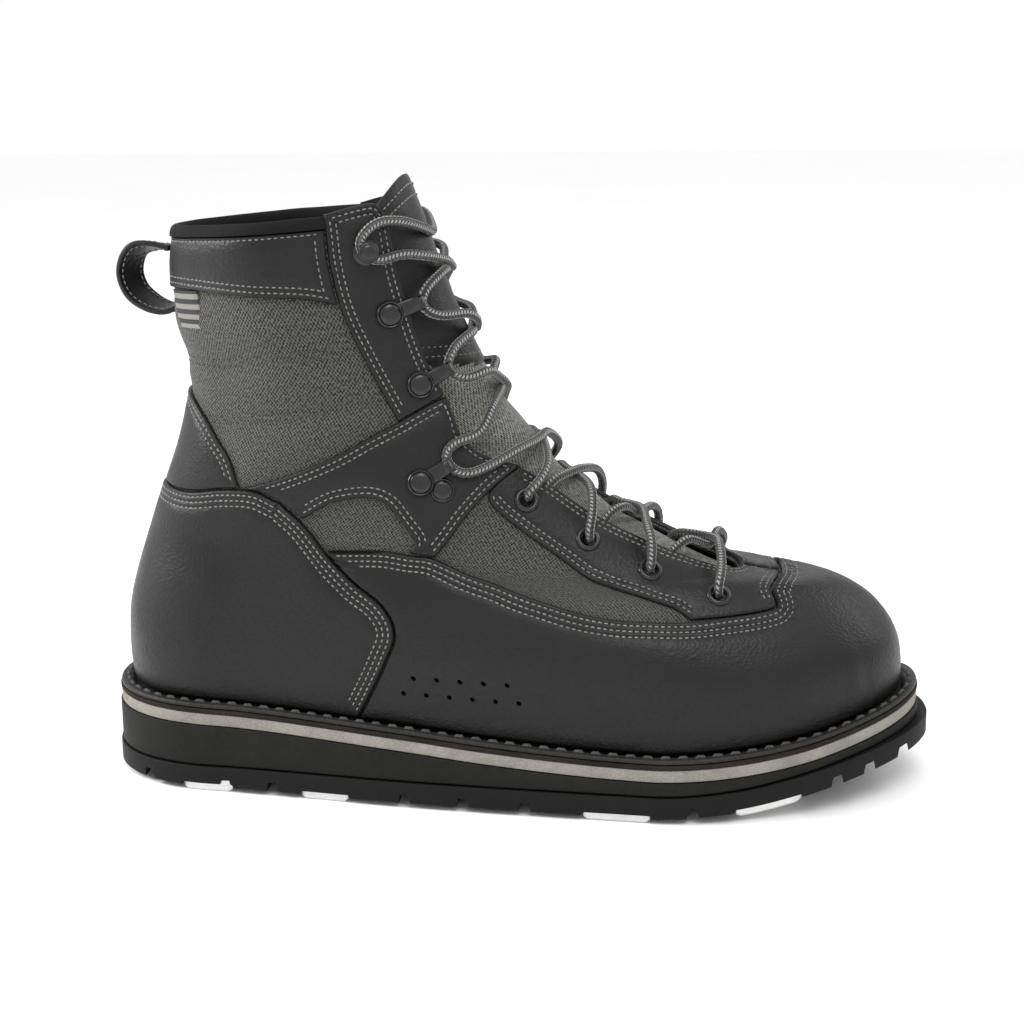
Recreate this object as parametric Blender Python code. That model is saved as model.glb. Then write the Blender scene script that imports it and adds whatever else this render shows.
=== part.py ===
"""Wading boot for the right foot: +X to the toe, +Y to the inner side of the foot, +Z up.

The origin is the middle of the rear heel bar, on the floor.
"""
import math
from collections import namedtuple

import bmesh
import bpy
import numpy as np
from mathutils import Vector

# Main sizes, in metres
SOLE_LENGTH = 0.318
BALL_WIDTH = 0.099
INSTEP_HEIGHT = 0.088
SHAFT_HEIGHT = 0.091
HEEL_STACK = 0.0355
BALL_STACK = 0.0247
TOE_STACK = 0.040
TOE_SPRING = 0.017

# Leather, fabric and clearances
WALL = 0.0022
OVERLAY = 0.0015
COUNTER_THICK = 0.0021
FIT = 0.0003
SEAT = 0.0007
EYELET_SEAT = 0.0008
TONGUE_THICK = 0.0032
TONGUE_ROOM = 0.0018
INSOLE_THICK = 0.0040
INSOLE_ROOM = 0.0010
BINDING_WIDTH = 0.0046
BINDING_HEIGHT = 0.0040

# Sole
FLANGE = 0.0085
EDGE_LEATHER = 0.0017
BOARD_THICK = 0.0016
FOAM_THICK = 0.0045
OUTSOLE_THICK = 0.0080
OUTSOLE_LIP = 0.0010
TOE_BUMPER = 0.0030
BAR_PROUD = 0.0020
BAR_THICK = 0.0045
BAR_BEVEL = 0.0006
BAR_MARGIN = 0.0060
GROOVE_WIDTH = 0.0034
GROOVE_DEPTH = 0.0036
CHANNEL_WIDTH = 0.0050

# Lace, eyelets and hooks
LACE = 0.0035
LACE_GAP = 0.00065
EYELET_RADIUS = 0.0047
EYELET_HOLE = 0.0026
EYELET_FLANGE = 0.0008
EYELET_TUBE = 0.0005
HOOK_RADIUS = 0.0052
HOOK_DISC = 0.0016
HOOK_WIDTH = 0.0062
HOOK_REACH = 0.0112
HOOK_METAL = 0.0012
HOOK_LIP = 0.62

# Pull loop and side tag
LOOP_WIDTH = 0.0135
LOOP_THICK = 0.0020
LOOP_REACH = 0.0205
TAG_THICK = 0.0011

# How finely the pieces are cut up, and a reach past everything for the cutting blocks
COLUMNS = 32
LEVELS = (0, 1.5, 3, 4.2, 5.1, 5.9, 6.5, 7.0, 7.7, 8.7, 10, 11.4, 12.8, 14.3, 15.8)
COLLAR_LEVEL = LEVELS[-1]
PLATE_STATIONS = COLUMNS // 2
PIN_SIDES = 8
HOOK_SIDES = 10
BINDING_STEPS = 26
TONGUE_ROWS = 11
TONGUE_HALF = 4
FAR = 0.080

# Level 0 is the edge that is lasted to the sole, 16 the collar, 17 the tongue's tip.
# Back and front points: x as a share of SOLE_LENGTH, then the height over the sole as
# shares of INSTEP_HEIGHT and of SHAFT_HEIGHT.
Profile = namedtuple("Profile", "level back back_rise back_leg front front_rise front_leg")
PROFILE = [Profile(*row) for row in (
    (0, 0.031, 0.000, 0.000, 0.969, 0.000, 0.000),
    (1, 0.028, 0.098, 0.000, 0.969, 0.109, 0.000),
    (2, 0.028, 0.212, 0.000, 0.964, 0.216, 0.000),
    (3, 0.030, 0.325, 0.000, 0.950, 0.326, 0.000),
    (4, 0.035, 0.416, 0.000, 0.928, 0.428, 0.000),
    (5, 0.042, 0.507, 0.000, 0.893, 0.520, 0.000),
    (6, 0.050, 0.599, 0.000, 0.843, 0.581, 0.000),
    (7, 0.060, 0.701, 0.000, 0.780, 0.643, 0.000),
    (8, 0.071, 0.815, 0.000, 0.703, 0.798, 0.000),
    (9, 0.083, 0.941, 0.000, 0.632, 0.943, 0.000),
    (10, 0.096, 1.000, 0.064, 0.579, 1.000, 0.083),
    (11, 0.107, 1.000, 0.196, 0.544, 1.000, 0.218),
    (12, 0.114, 1.000, 0.328, 0.506, 1.000, 0.384),
    (13, 0.110, 1.000, 0.471, 0.473, 1.000, 0.562),
    (14, 0.101, 1.000, 0.624, 0.447, 1.000, 0.750),
    (15, 0.097, 1.000, 0.800, 0.426, 1.000, 0.930),
    (16, 0.104, 1.000, 0.976, 0.406, 1.000, 1.121),
    (17, 0.110, 1.000, 1.130, 0.384, 1.000, 1.335),
)]

# Half widths at three places along each ring and the swing of its middle line, as shares
# of BALL_WIDTH; then how much of the ring is its round back and front, and how round.
Width = namedtuple("Width", "level heel waist ball mid_swing ball_swing tip_swing back front power")
WIDTH = [Width(*row) for row in (
    (0, 0.355, 0.392, 0.499, -0.055, -0.011, 0.045, 0.14, 0.30, 2.00),
    (2, 0.369, 0.404, 0.501, -0.050, -0.015, 0.040, 0.14, 0.32, 2.05),
    (3, 0.362, 0.403, 0.480, -0.043, -0.015, 0.035, 0.145, 0.35, 1.90),
    (4, 0.353, 0.399, 0.435, -0.035, -0.015, 0.030, 0.15, 0.38, 1.80),
    (5, 0.343, 0.389, 0.390, -0.030, -0.015, 0.025, 0.16, 0.42, 1.85),
    (6, 0.333, 0.379, 0.368, -0.025, -0.015, 0.020, 0.18, 0.50, 2.35),
    (7, 0.326, 0.369, 0.360, -0.020, -0.015, 0.015, 0.20, 0.55, 2.50),
    (8, 0.326, 0.364, 0.355, -0.015, -0.010, 0.010, 0.22, 0.58, 2.20),
    (10, 0.328, 0.364, 0.343, -0.010, -0.005, 0.005, 0.30, 0.60, 2.00),
    (12, 0.313, 0.359, 0.333, 0.000, 0.000, 0.000, 0.36, 0.60, 2.00),
    (14, 0.323, 0.374, 0.348, 0.000, 0.000, 0.000, 0.40, 0.60, 2.05),
    (16, 0.333, 0.389, 0.359, 0.000, 0.000, 0.000, 0.45, 0.58, 2.10),
    (17, 0.338, 0.394, 0.364, 0.000, 0.000, 0.000, 0.45, 0.58, 2.10),
)]
HEEL_PLACE = 0.15
WAIST_PLACE = 0.40
BALL_PLACE = 0.70
BACK_POWER = 2.1
INNER_FULLNESS = 1.12
SAG_LEVELS = 5.0

# Top of the sole: place along the boot, share of the heel's extra height, share of the toe's
SOLE_TOP = ((0, 1, 0), (0.19, 0.91, 0), (0.38, 0.55, 0), (0.50, 0.23, 0), (0.63, 0, 0),
            (0.74, 0, 0), (0.85, 0, 0.26), (0.94, 0, 0.68), (1, 0, 1))
# Underside of the lugs: place, share of TOE_SPRING
TREAD = ((0, 0), (0.70, 0), (0.78, 0.12), (0.85, 0.35), (0.93, 0.68), (1, 0.96))

# Bars: name, middle, length along the boot, as shares of SOLE_LENGTH
BARS = (("bar_heel_rear", 0.145, 0.062), ("bar_heel_front", 0.293, 0.058),
        ("bar_ball", 0.643, 0.077), ("bar_toe", 0.817, 0.074))
GROOVES = (0.066, 0.228, 0.392, 0.462, 0.536, 0.731, 0.896, 0.945)
CHANNELS = ((0.40, 0.575, 0.0), (0.40, 0.575, 0.021), (0.40, 0.575, -0.023))

# Outlines on the upper's side: share along the ring from back to front, and level
THROAT = ((0.885, 17.2), (0.878, 16.0), (0.866, 15.56), (0.850, 14.77), (0.843, 14.16),
          (0.832, 13.45), (0.824, 12.79), (0.820, 12.10), (0.800, 11.40), (0.795, 10.90),
          (0.832, 10.50), (0.886, 10.25), (0.917, 9.65), (0.928, 8.79), (0.947, 8.01),
          (0.972, 7.44), (0.990, 7.10), (1.030, 7.15), (1.100, 7.45))
CUFF_LOW = ((-0.12, 14.62), (0.048, 14.65), (0.177, 14.60), (0.371, 14.47), (0.533, 14.36),
            (0.625, 14.20))
STRIP_BACK = ((0.668, 17.0), (0.660, 15.98), (0.647, 15.12), (0.638, 14.01), (0.644, 13.05),
              (0.649, 12.24), (0.654, 11.56))
ANKLE_TOP = ((0.205, 9.11), (0.303, 9.62), (0.442, 10.38), (0.552, 11.01), (0.676, 11.54),
             (0.760, 11.86), (0.860, 12.10))
ANKLE_FRONT = ((0.900, 10.20), (0.771, 9.49), (0.645, 8.53), (0.528, 7.42))
WINDOW = ((0.490, 7.53), (0.520, 7.90), (0.525, 8.40), (0.526, 9.03), (0.492, 9.20),
          (0.402, 8.95), (0.325, 8.36))
COUNTER_TOP = ((-0.12, 8.60), (0.082, 8.70), (0.160, 8.98), (0.235, 9.08), (0.287, 8.79))
COUNTER_FRONT = ((0.287, 8.79), (0.321, 8.10), (0.337, 6.96), (0.353, 5.50), (0.372, 4.58),
                 (0.380, 3.80), (0.380, 3.04), (0.365, 2.20), (0.346, 1.20), (0.323, 0.00))
BACKSTAY_FRONT = ((-0.12, 12.0), (0.020, 11.74), (0.084, 11.19), (0.132, 10.59), (0.176, 9.97),
                  (0.200, 9.12))
VAMP_TOP = ((0.341, 7.33), (0.441, 7.50), (0.484, 7.43), (0.530, 7.31), (0.566, 6.37),
            (0.587, 5.26), (0.625, 4.56), (0.671, 4.20), (0.719, 4.07), (0.768, 4.01),
            (0.821, 4.12), (0.862, 4.21), (0.896, 4.34), (0.900, 4.80))
VAMP_END = ((0.935, 5.45), (0.975, 6.05), (1.020, 6.60), (1.120, 7.50))
EYESTAY_LOW = ((0.773, 9.50), (0.750, 9.16), (0.749, 8.25), (0.754, 7.43), (0.738, 6.21),
               (0.744, 5.05), (0.764, 4.54), (0.773, 4.10))
FACING_AHEAD = ((0.930, 11.90), (0.970, 17.00))
EYESTAY_AHEAD = ((1.050, 9.60), (0.930, 10.12))
# Lowest and highest level that each overlay is cut from
REACH = {"counter": (0, 9.8), "vamp": (0, 8.6), "backstay": (8.1, 12.6), "cuff": (14.0, COLLAR_LEVEL),
         "facing": (11.0, COLLAR_LEVEL), "ankle": (6.6, 12.6), "eyestay": (3.3, 11.0)}

# Tongue: place of its edge at each level, and the levels of its root, shoulders and tip
TONGUE_EDGE = ((5.9, 0.965), (7, 0.90), (8, 0.86), (10, 0.79), (12, 0.74), (14, 0.76), (17.2, 0.84))
TONGUE_ROOT = 6.5
TONGUE_SHOULDER = 15.9
TONGUE_TIP = 16.65
TONGUE_ARCH = 1.4
TONGUE_SPREAD = 1.7

# Binding: how far it runs along the collar, and its section as shares of width and height
BINDING_REACH = 0.868
BINDING_SECTION = ((-0.5, 0.0), (0.5, 0.0), (0.5, 0.5), (0.2, 1.0), (-0.2, 1.0), (-0.5, 0.5))

# Pull loop: levels of its two ends at the back, and its path as shares of reach and height
LOOP_LEVELS = (14.1, 15.5)
LOOP_PATH = ((0.0, 1.0), (0.35, 1.03), (0.78, 0.96), (1.0, 0.62), (0.92, 0.28), (0.62, 0.06),
             (0.30, -0.03), (0.0, 0.0))
# Side tag: its range along the ring and its range of levels
TAG_ALONG = (0.030, 0.145)
TAG_LEVELS = (13.72, 14.52)
TAG_CELLS = (4, 3)

# Lace stations from the toe up: name, share along the ring, level, kind. Before WIDE_FACING
# a station is so far back that its lace needs one more bend on the way to the tongue.
Station = namedtuple("Station", "name along level kind")
STATIONS = [Station(*row) for row in (
    ("eyelet_1", 0.840, 5.08, "eyelet"),
    ("eyelet_2", 0.873, 7.24, "eyelet"),
    ("eyelet_3", 0.847, 8.10, "eyelet"),
    ("eyelet_4", 0.830, 9.22, "eyelet"),
    ("hook_1", 0.632, 9.72, "hook"),
    ("hook_2", 0.768, 12.34, "hook"),
    ("hook_3", 0.778, 13.90, "hook"),
    ("hook_4", 0.772, 15.25, "hook"),
)]
WIDE_FACING = 0.70
SIDES = (("outer", -1), ("inner", 1))
# Lace runs: where they bend between station and ridge, and their heights over the tongue
BENDS = (0.25, 0.55)
OVER_HEIGHT = 1.30
UNDER_HEIGHT = 0.70

Finish = namedtuple("Finish", "colour roughness metallic")
LEATHER = Finish((0.045, 0.045, 0.042), 0.55, 0.0)
FABRIC = Finish((0.16, 0.16, 0.145), 0.85, 0.0)
FINISHES = {
    "leather": LEATHER,
    "fabric": FABRIC,
    "binding": Finish((0.015, 0.015, 0.015), 0.8, 0.0),
    "rubber": Finish((0.022, 0.022, 0.022), 0.75, 0.0),
    "wedge": Finish((0.028, 0.026, 0.024), 0.85, 0.0),
    "foam": Finish((0.36, 0.34, 0.30), 0.85, 0.0),
    "board": Finish((0.030, 0.022, 0.018), 0.8, 0.0),
    "footbed": Finish((0.05, 0.05, 0.05), 0.9, 0.0),
    "aluminium": Finish((0.62, 0.63, 0.64), 0.4, 1.0),
    "black_metal": Finish((0.02, 0.02, 0.022), 0.35, 0.8),
    "lace": Finish((0.05, 0.05, 0.052), 0.8, 0.0),
    "tag": Finish((0.45, 0.20, 0.20), 0.8, 0.0),
}


def clear_scene():
    for thing in list(bpy.data.objects):
        bpy.data.objects.remove(thing, do_unlink=True)


def smooth(rows, place):
    """Values of a smooth curve through rows of (place, value, ...)."""
    places = [row[0] for row in rows]
    values = np.array([row[1:] for row in rows], float)
    if place <= places[0]:
        return values[0]
    if place >= places[-1]:
        return values[-1]
    last = len(places) - 1
    i = max(k for k in range(last) if places[k] <= place)

    def slope(k):
        before, after = max(k - 1, 0), min(k + 1, last)
        return (values[after] - values[before]) / (places[after] - places[before])

    span = places[i + 1] - places[i]
    s = (place - places[i]) / span
    return ((2 * s**3 - 3 * s**2 + 1) * values[i] + (s**3 - 2 * s**2 + s) * slope(i) * span
            + (3 * s**2 - 2 * s**3) * values[i + 1] + (s**3 - s**2) * slope(i + 1) * span)


def sole_top(x):
    """Height of the stitched edge's top over the floor."""
    heel, toe = smooth(SOLE_TOP, x / SOLE_LENGTH)
    return BALL_STACK + heel * (HEEL_STACK - BALL_STACK) + toe * (TOE_STACK - BALL_STACK)


def board_top(x):
    return sole_top(x) - EDGE_LEATHER - FIT


def foam_top(x):
    return board_top(x) - BOARD_THICK - FIT


def wedge_top(x):
    return foam_top(x) - FOAM_THICK - FIT


def tread(x):
    """Height of the lugs' underside over the floor."""
    return BAR_PROUD + max(0.0, smooth(TREAD, x / SOLE_LENGTH)[0]) * TOE_SPRING


def ring_ends(level):
    """Back and front points (x, z) of the ring at a level."""
    back, back_rise, back_leg, front, front_rise, front_leg = smooth(PROFILE, level)
    ends = []
    for x, rise, leg in ((back, back_rise, back_leg), (front, front_rise, front_leg)):
        x *= SOLE_LENGTH
        ends.append((x, sole_top(x) + rise * INSTEP_HEIGHT + leg * SHAFT_HEIGHT))
    return ends


def side_place(along, level):
    """The (x, z) of a place on the upper, seen from the side."""
    (back_x, back_z), (front_x, front_z) = ring_ends(level)
    x = back_x + (front_x - back_x) * along
    z = back_z + (front_z - back_z) * along
    sag = max(0.0, 1 - level / SAG_LEVELS) ** 1.5
    (low_x, low_z), (high_x, high_z) = ring_ends(0)
    chord = low_z + (high_z - low_z) * along
    return x, z + sag * (sole_top(x) - chord)


def last_point(along, level, side):
    """A point of the upper's outer face; side is -1 on the outer side of the foot, 1 inside."""
    x, z = side_place(along, level)
    heel, waist, ball, mid_swing, ball_swing, tip_swing, back, front, power = smooth(WIDTH, level)
    half = smooth(((HEEL_PLACE, heel), (WAIST_PLACE, waist), (BALL_PLACE, ball)), along)[0]
    swing = smooth(((0, 0), (HEEL_PLACE, 0), (WAIST_PLACE, mid_swing), (BALL_PLACE, ball_swing),
                    (1, tip_swing)), along)[0]
    if side > 0:
        power *= INNER_FULLNESS
    if along < back:
        half *= (1 - (1 - along / back) ** BACK_POWER) ** (1 / BACK_POWER)
    if along > 1 - front:
        half *= max(0.0, 1 - ((along - 1 + front) / front) ** power) ** (1 / power)
    return Vector((x, (swing + side * half) * BALL_WIDTH, z))


def last_normal(along, level, side):
    """The outward direction of the upper's face at a place."""
    step = 0.004
    low = last_point(max(along - step, 0.0), level, side)
    high = last_point(min(along + step, 1.0), level, side)
    down = last_point(along, max(level - 0.1, 0.0), side)
    up = last_point(along, level + 0.1, side)
    normal = (high - low).cross(up - down) * -side
    return normal.normalized()


def lifted(along, level, side, height):
    return last_point(along, level, side) + last_normal(along, level, side) * height


def ring_places(count=COLUMNS):
    """Places round a ring, closer together at its round ends: share along, side."""
    places = []
    for k in range(count):
        turn = 2 * math.pi * k / count
        places.append(((1 - math.cos(turn)) / 2, -1 if k <= count // 2 else 1))
    return places


def add_object(name, vertices, faces, finish, smooth_angle=35):
    mesh = bpy.data.meshes.new(name)
    origin = Vector((BARS[0][1] * SOLE_LENGTH, 0, 0))
    mesh.from_pydata([Vector(v) - origin for v in vertices], [], faces)
    tidy = bmesh.new()
    tidy.from_mesh(mesh)
    bmesh.ops.recalc_face_normals(tidy, faces=tidy.faces)
    tidy.to_mesh(mesh)
    tidy.free()
    obj = bpy.data.objects.new(name, mesh)
    bpy.context.scene.collection.objects.link(obj)
    if finish:
        obj.data.materials.append(material(finish))
        mesh.shade_smooth()
        mesh.set_sharp_from_angle(angle=math.radians(smooth_angle))
    return obj


def material(finish):
    if finish in bpy.data.materials:
        return bpy.data.materials[finish]
    made = bpy.data.materials.new(finish)
    made.use_nodes = True
    shader = made.node_tree.nodes["Principled BSDF"]
    shader.inputs["Base Color"].default_value = (*FINISHES[finish].colour, 1)
    shader.inputs["Roughness"].default_value = FINISHES[finish].roughness
    shader.inputs["Metallic"].default_value = FINISHES[finish].metallic
    return made


def cutter(name, vertices, faces):
    obj = add_object(name, vertices, faces, None)
    obj.hide_render = True
    obj.display_type = "WIRE"
    return obj


def cut(obj, tool, operation="DIFFERENCE"):
    step = obj.modifiers.new(tool.name, "BOOLEAN")
    step.operation = operation
    step.solver = "EXACT"
    step.object = tool


def band_faces(rings, count, closed_rows=False):
    """Faces between rings of count points each; rows join end to end when closed_rows."""
    faces = []
    for i in range(rings if closed_rows else rings - 1):
        for k in range(count):
            a, b = i * count + k, i * count + (k + 1) % count
            c, d = ((i + 1) % rings) * count + (k + 1) % count, ((i + 1) % rings) * count + k
            faces.append((a, b, c, d))
    return faces


def shell(name, levels, inside, outside, finish):
    """A closed wall between two heights over the last, through the levels given."""
    places = ring_places()

    def ring(level, height, drop):
        points = []
        for along, side in places:
            point = last_point(along, level, side) + level_normal(along, level, side) * height
            if drop:
                point.z = board_top(point.x) + FIT
            points.append(point)
        return points

    rows = [(level, False) for level in levels]
    if levels[0] == 0:
        rows.insert(0, (0, True))
    vertices = []
    for level, drop in rows:
        vertices += ring(level, outside, drop)
    for level, drop in reversed(rows):
        vertices += ring(level, inside, drop)
    faces = []
    for k, (a, b, c, d) in enumerate(band_faces(2 * len(rows), COLUMNS, True)):
        if k < len(rows) * COLUMNS:
            faces += [(a, b, c), (a, c, d)]
        else:
            faces += [(a, b, d), (b, c, d)]
    return add_object(name, vertices, faces, finish)


def level_normal(along, level, side):
    """As last_normal, but level with the floor at the lasted edge."""
    normal = last_normal(along, max(level, 0.15), side)
    if level == 0:
        normal.z = 0
        normal.normalize()
    return normal


def rounded(points, steps):
    """Points with steps pieces between each pair, on a smooth curve."""
    rows = [(k, *point) for k, point in enumerate(points)]
    return [tuple(smooth(rows, k / steps)) for k in range((len(points) - 1) * steps + 1)]


def outline(*stretches):
    """Side-view outline (x, z) through stretches of places on the upper."""
    points = []
    for stretch in stretches:
        for place in stretch:
            spot = side_place(*place)
            if not points or math.dist(points[-1], spot) > FIT:
                points.append(spot)
    return points


def side_prism(name, points, near, far):
    """A block through the boot with a side-view outline, from y near to y far."""
    count = len(points)
    vertices = [(x, y, z) for y in (near, far) for x, z in points]
    faces = [tuple(range(count)), tuple(range(2 * count - 1, count - 1, -1))]
    faces += [(k, (k + 1) % count, count + (k + 1) % count, count + k) for k in range(count)]
    return cutter(name, vertices, faces)


def moved(points, dx, dz):
    return [(x + dx, z + dz) for x, z in points]


def levels_between(low, high):
    """The upper's own levels from the last one at or under low to the first at or over high."""
    first = max(level for level in LEVELS if level <= low)
    last = min(level for level in LEVELS if level >= high)
    return [level for level in LEVELS if first <= level <= last]


def throat_prism():
    points = outline(THROAT)
    top_x, top_z = points[0]
    end_x, end_z = points[-1]
    points += [(end_x + FAR / 4, end_z + FAR / 8), (end_x + FAR, end_z + FAR),
               (end_x + FAR, top_z + FAR), (top_x, top_z + FAR)]
    return side_prism("throat_cutter", points, -FAR, FAR)


def hole_cutters():
    """One cutter with a round pin through each eyelet's place."""
    vertices, faces = [], []
    count = PIN_SIDES
    radius = EYELET_HOLE + EYELET_TUBE + FIT
    for station in STATIONS:
        for _, side in SIDES:
            if station.kind != "eyelet":
                continue
            middle, across, up, out = station_frame(station, side)
            start = len(vertices)
            for height in (-2.5 * WALL, 2.5 * WALL):
                vertices += circle(middle + out * height, across, up, radius, count)
            faces.append(tuple(range(start, start + count)))
            faces.append(tuple(range(start + 2 * count - 1, start + count - 1, -1)))
            for k in range(count):
                n = (k + 1) % count
                faces.append((start + k, start + n, start + count + n, start + count + k))
    return cutter("hole_cutter", vertices, faces)


def station_frame(station, side):
    """Middle on the upper's face, direction to the throat, direction up the facing, outward."""
    middle = last_point(station.along, station.level, side)
    out = last_normal(station.along, station.level, side)
    up = last_point(station.along, station.level + 0.3, side) - middle
    up = (up - out * up.dot(out)).normalized()
    across = up.cross(out) * side
    ahead = last_point(min(station.along + 0.02, 1), station.level, side) - middle
    if across.dot(ahead) < 0:
        across = -across
    return middle, across, up, out


def circle(middle, across, up, radius, count):
    return [middle + (across * math.cos(t) + up * math.sin(t)) * radius
            for t in (2 * math.pi * k / count for k in range(count))]


def make_upper(throat, holes):
    upper = shell("upper", LEVELS, -WALL, 0.0, "fabric")
    cut(upper, throat)
    cut(upper, holes)


def overlay(name, points, side=0, thickness=OVERLAY):
    """A leather panel: a shell cut to a side-view outline, on one side or right round."""
    low, high = REACH[name.split("_")[0]]
    obj = shell(name, levels_between(low, high), FIT, FIT + thickness, "leather")
    near, far = sorted((side * FIT, side * FAR)) if side else (-FAR, FAR)
    cut(obj, side_prism(name + "_cutter", points, near, far), "INTERSECT")
    return obj


def make_overlays(throat, holes):
    deep = SOLE_LENGTH / 4
    base_x, base_z = side_place(*COUNTER_FRONT[-1])
    counter_front = outline(COUNTER_FRONT)
    counter_top = outline(COUNTER_TOP)
    under_heel = [(base_x, base_z - deep), (-deep, base_z - deep)]
    overlay("counter", counter_top + counter_front + under_heel, thickness=COUNTER_THICK)

    vamp = outline(VAMP_TOP, VAMP_END)
    end_x, end_z = vamp[-1]
    seam = moved([spot for spot in counter_front if spot[1] < vamp[0][1]], 2 * FIT, 0)
    vamp += [(end_x + deep, end_z), (end_x + deep, base_z - deep), (base_x + FIT, base_z - deep)]
    overlay("vamp", vamp + seam[::-1])

    seam = moved(counter_top, 0, 2 * FIT)
    overlay("backstay", outline(BACKSTAY_FRONT) + seam[-5::-1])

    strip_back = outline(STRIP_BACK)
    seam = moved([spot for spot in strip_back if spot[1] > side_place(*CUFF_LOW[-1])[1]], -2 * FIT, 0)
    cuff = outline(CUFF_LOW) + seam[::-1]
    end_x, end_z = cuff[-1]
    overlay("cuff", cuff + [(end_x, end_z + FAR), (-deep, end_z + FAR)])

    for side_name, side in SIDES:
        strip = strip_back + moved(outline(ANKLE_TOP[4:]), 0, 2 * FIT) + outline(FACING_AHEAD)
        facing = overlay("facing_" + side_name, strip, side)
        cut(facing, throat)

        panel = outline(ANKLE_TOP, ANKLE_FRONT, WINDOW)
        panel += moved(counter_front[1::-1], 2 * FIT, 2 * FIT) + moved(counter_top[3:4], 0, 3 * FIT)
        ankle = overlay("ankle_" + side_name, panel, side)
        cut(ankle, throat)

        corner_x = side_place(*EYESTAY_LOW[-1])[0]
        low_edge = [spot for spot in outline(VAMP_TOP[:-2]) if spot[0] > corner_x]
        stay = moved(outline(EYESTAY_LOW), 2 * FIT, 0) + moved(low_edge, 0, 2 * FIT)
        stay += moved(outline(VAMP_TOP[-2:] + VAMP_END), -3 * FIT, FIT) + outline(EYESTAY_AHEAD)
        eyestay = overlay("eyestay_" + side_name, stay, side)
        cut(eyestay, throat)
        cut(eyestay, holes)


def make_binding():
    """Rolled edge along the collar, from one side of the throat to the other."""
    vertices = []
    turn = math.acos(1 - 2 * BINDING_REACH)
    middle = (OVERLAY + FIT - WALL) / 2
    for k in range(BINDING_STEPS + 1):
        angle = turn * (2 * k / BINDING_STEPS - 1)
        along = (1 - math.cos(angle)) / 2
        side = -1 if angle <= 0 else 1
        out = last_normal(along, COLLAR_LEVEL, side)
        out.z = 0
        out.normalize()
        for across, height in BINDING_SECTION:
            spot = last_point(along, COLLAR_LEVEL, side) + out * (middle + across * BINDING_WIDTH)
            spot.z += 2 * FIT + height * BINDING_HEIGHT
            vertices.append(spot)
    count = len(BINDING_SECTION)
    faces = band_faces(BINDING_STEPS + 1, count)
    faces += [tuple(range(count)), tuple(range(BINDING_STEPS * count, (BINDING_STEPS + 1) * count))]
    add_object("collar_binding", vertices, faces, "binding")


def pad(name, rows, width, place, finish, smooth_angle=35):
    """A closed pad of two layers of rows by width points; place gives a point of a layer."""
    vertices = [place(layer, i, k) for layer in (0, 1) for i in range(rows) for k in range(width)]
    layer = rows * width
    faces = []
    for i in range(rows - 1):
        for k in range(width - 1):
            a = i * width + k
            faces.append((a, a + 1, a + width + 1, a + width))
            faces.append((layer + a, layer + a + width, layer + a + width + 1, layer + a + 1))
    rim = list(range(width)) + [i * width + width - 1 for i in range(1, rows)]
    rim += [layer - 2 - k for k in range(width - 1)] + [i * width for i in range(rows - 2, 0, -1)]
    for a, b in zip(rim, rim[1:] + rim[:1]):
        faces.append((a, layer + a, layer + b, b))
    add_object(name, vertices, faces, finish, smooth_angle)


def make_tongue():
    """A curved pad behind the throat, taller in the middle than at its sides."""
    def place(layer, i, k):
        reach = abs(k - TONGUE_HALF) / TONGUE_HALF
        top = TONGUE_SHOULDER + (TONGUE_TIP - TONGUE_SHOULDER) * (1 - reach**TONGUE_ARCH)
        level = TONGUE_ROOT + (top - TONGUE_ROOT) * i / TONGUE_ROWS
        along = 1 - (1 - smooth(TONGUE_EDGE, level)[0]) * reach**TONGUE_SPREAD
        depth = WALL + TONGUE_ROOM + layer * TONGUE_THICK
        return lifted(along, level, -1 if k < TONGUE_HALF else 1, -depth)

    pad("tongue", TONGUE_ROWS + 1, 2 * TONGUE_HALF + 1, place, "fabric", 50)


def sole_outline(offset, toe=0.0):
    """Pairs of outer and inner edge points of the sole, offset outward from the lasted edge."""
    pairs = []
    for k in range(PLATE_STATIONS + 1):
        along = (1 - math.cos(math.pi * k / PLATE_STATIONS)) / 2
        pair = []
        for side in (-1, 1):
            point = last_point(along, 0, side)
            out = level_normal(along, 0, side)
            grow = offset + toe * max(0.0, out.x) ** 2 * (1 if along > 0.5 else 0)
            pair.append(point + out * grow)
        pairs.append(pair)
    return pairs


def sole_ring(offset, toe=0.0):
    pairs = sole_outline(offset, toe)
    return [pair[0] for pair in pairs] + [pair[1] for pair in reversed(pairs[1:-1])]


def plate(name, offset, top, bottom, finish, toe=0.0):
    """A sole layer: its outline, and its top and bottom as heights along the boot."""
    points = sole_ring(offset, toe)
    count = len(points)
    vertices = [(p.x, p.y, top(p.x)) for p in points] + [(p.x, p.y, bottom(p.x)) for p in points]
    faces = [(k, (k + 1) % count, count + (k + 1) % count, count + k) for k in range(count)]
    for level in (0, count):
        faces.append((level, level + 1, level + count - 1))
        for k in range(1, PLATE_STATIONS - 1):
            faces.append((level + k, level + k + 1, level + count - k - 1, level + count - k))
        middle = PLATE_STATIONS
        faces.append((level + middle - 1, level + middle, level + middle + 1))
    return add_object(name, vertices, faces, finish)


def make_stitched_edge():
    """The upper's turned-out leather edge, stitched down on the board round the boot."""
    inner = sole_ring(FIT + COUNTER_THICK + FIT)
    outer = sole_ring(FLANGE)
    vertices = []
    for ring, height in ((inner, 0), (inner, EDGE_LEATHER), (outer, EDGE_LEATHER), (outer, 0)):
        vertices += [(p.x, p.y, board_top(p.x) + FIT + height) for p in ring]
    add_object("stitched_edge", vertices, band_faces(4, len(inner), True), "leather")


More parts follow.
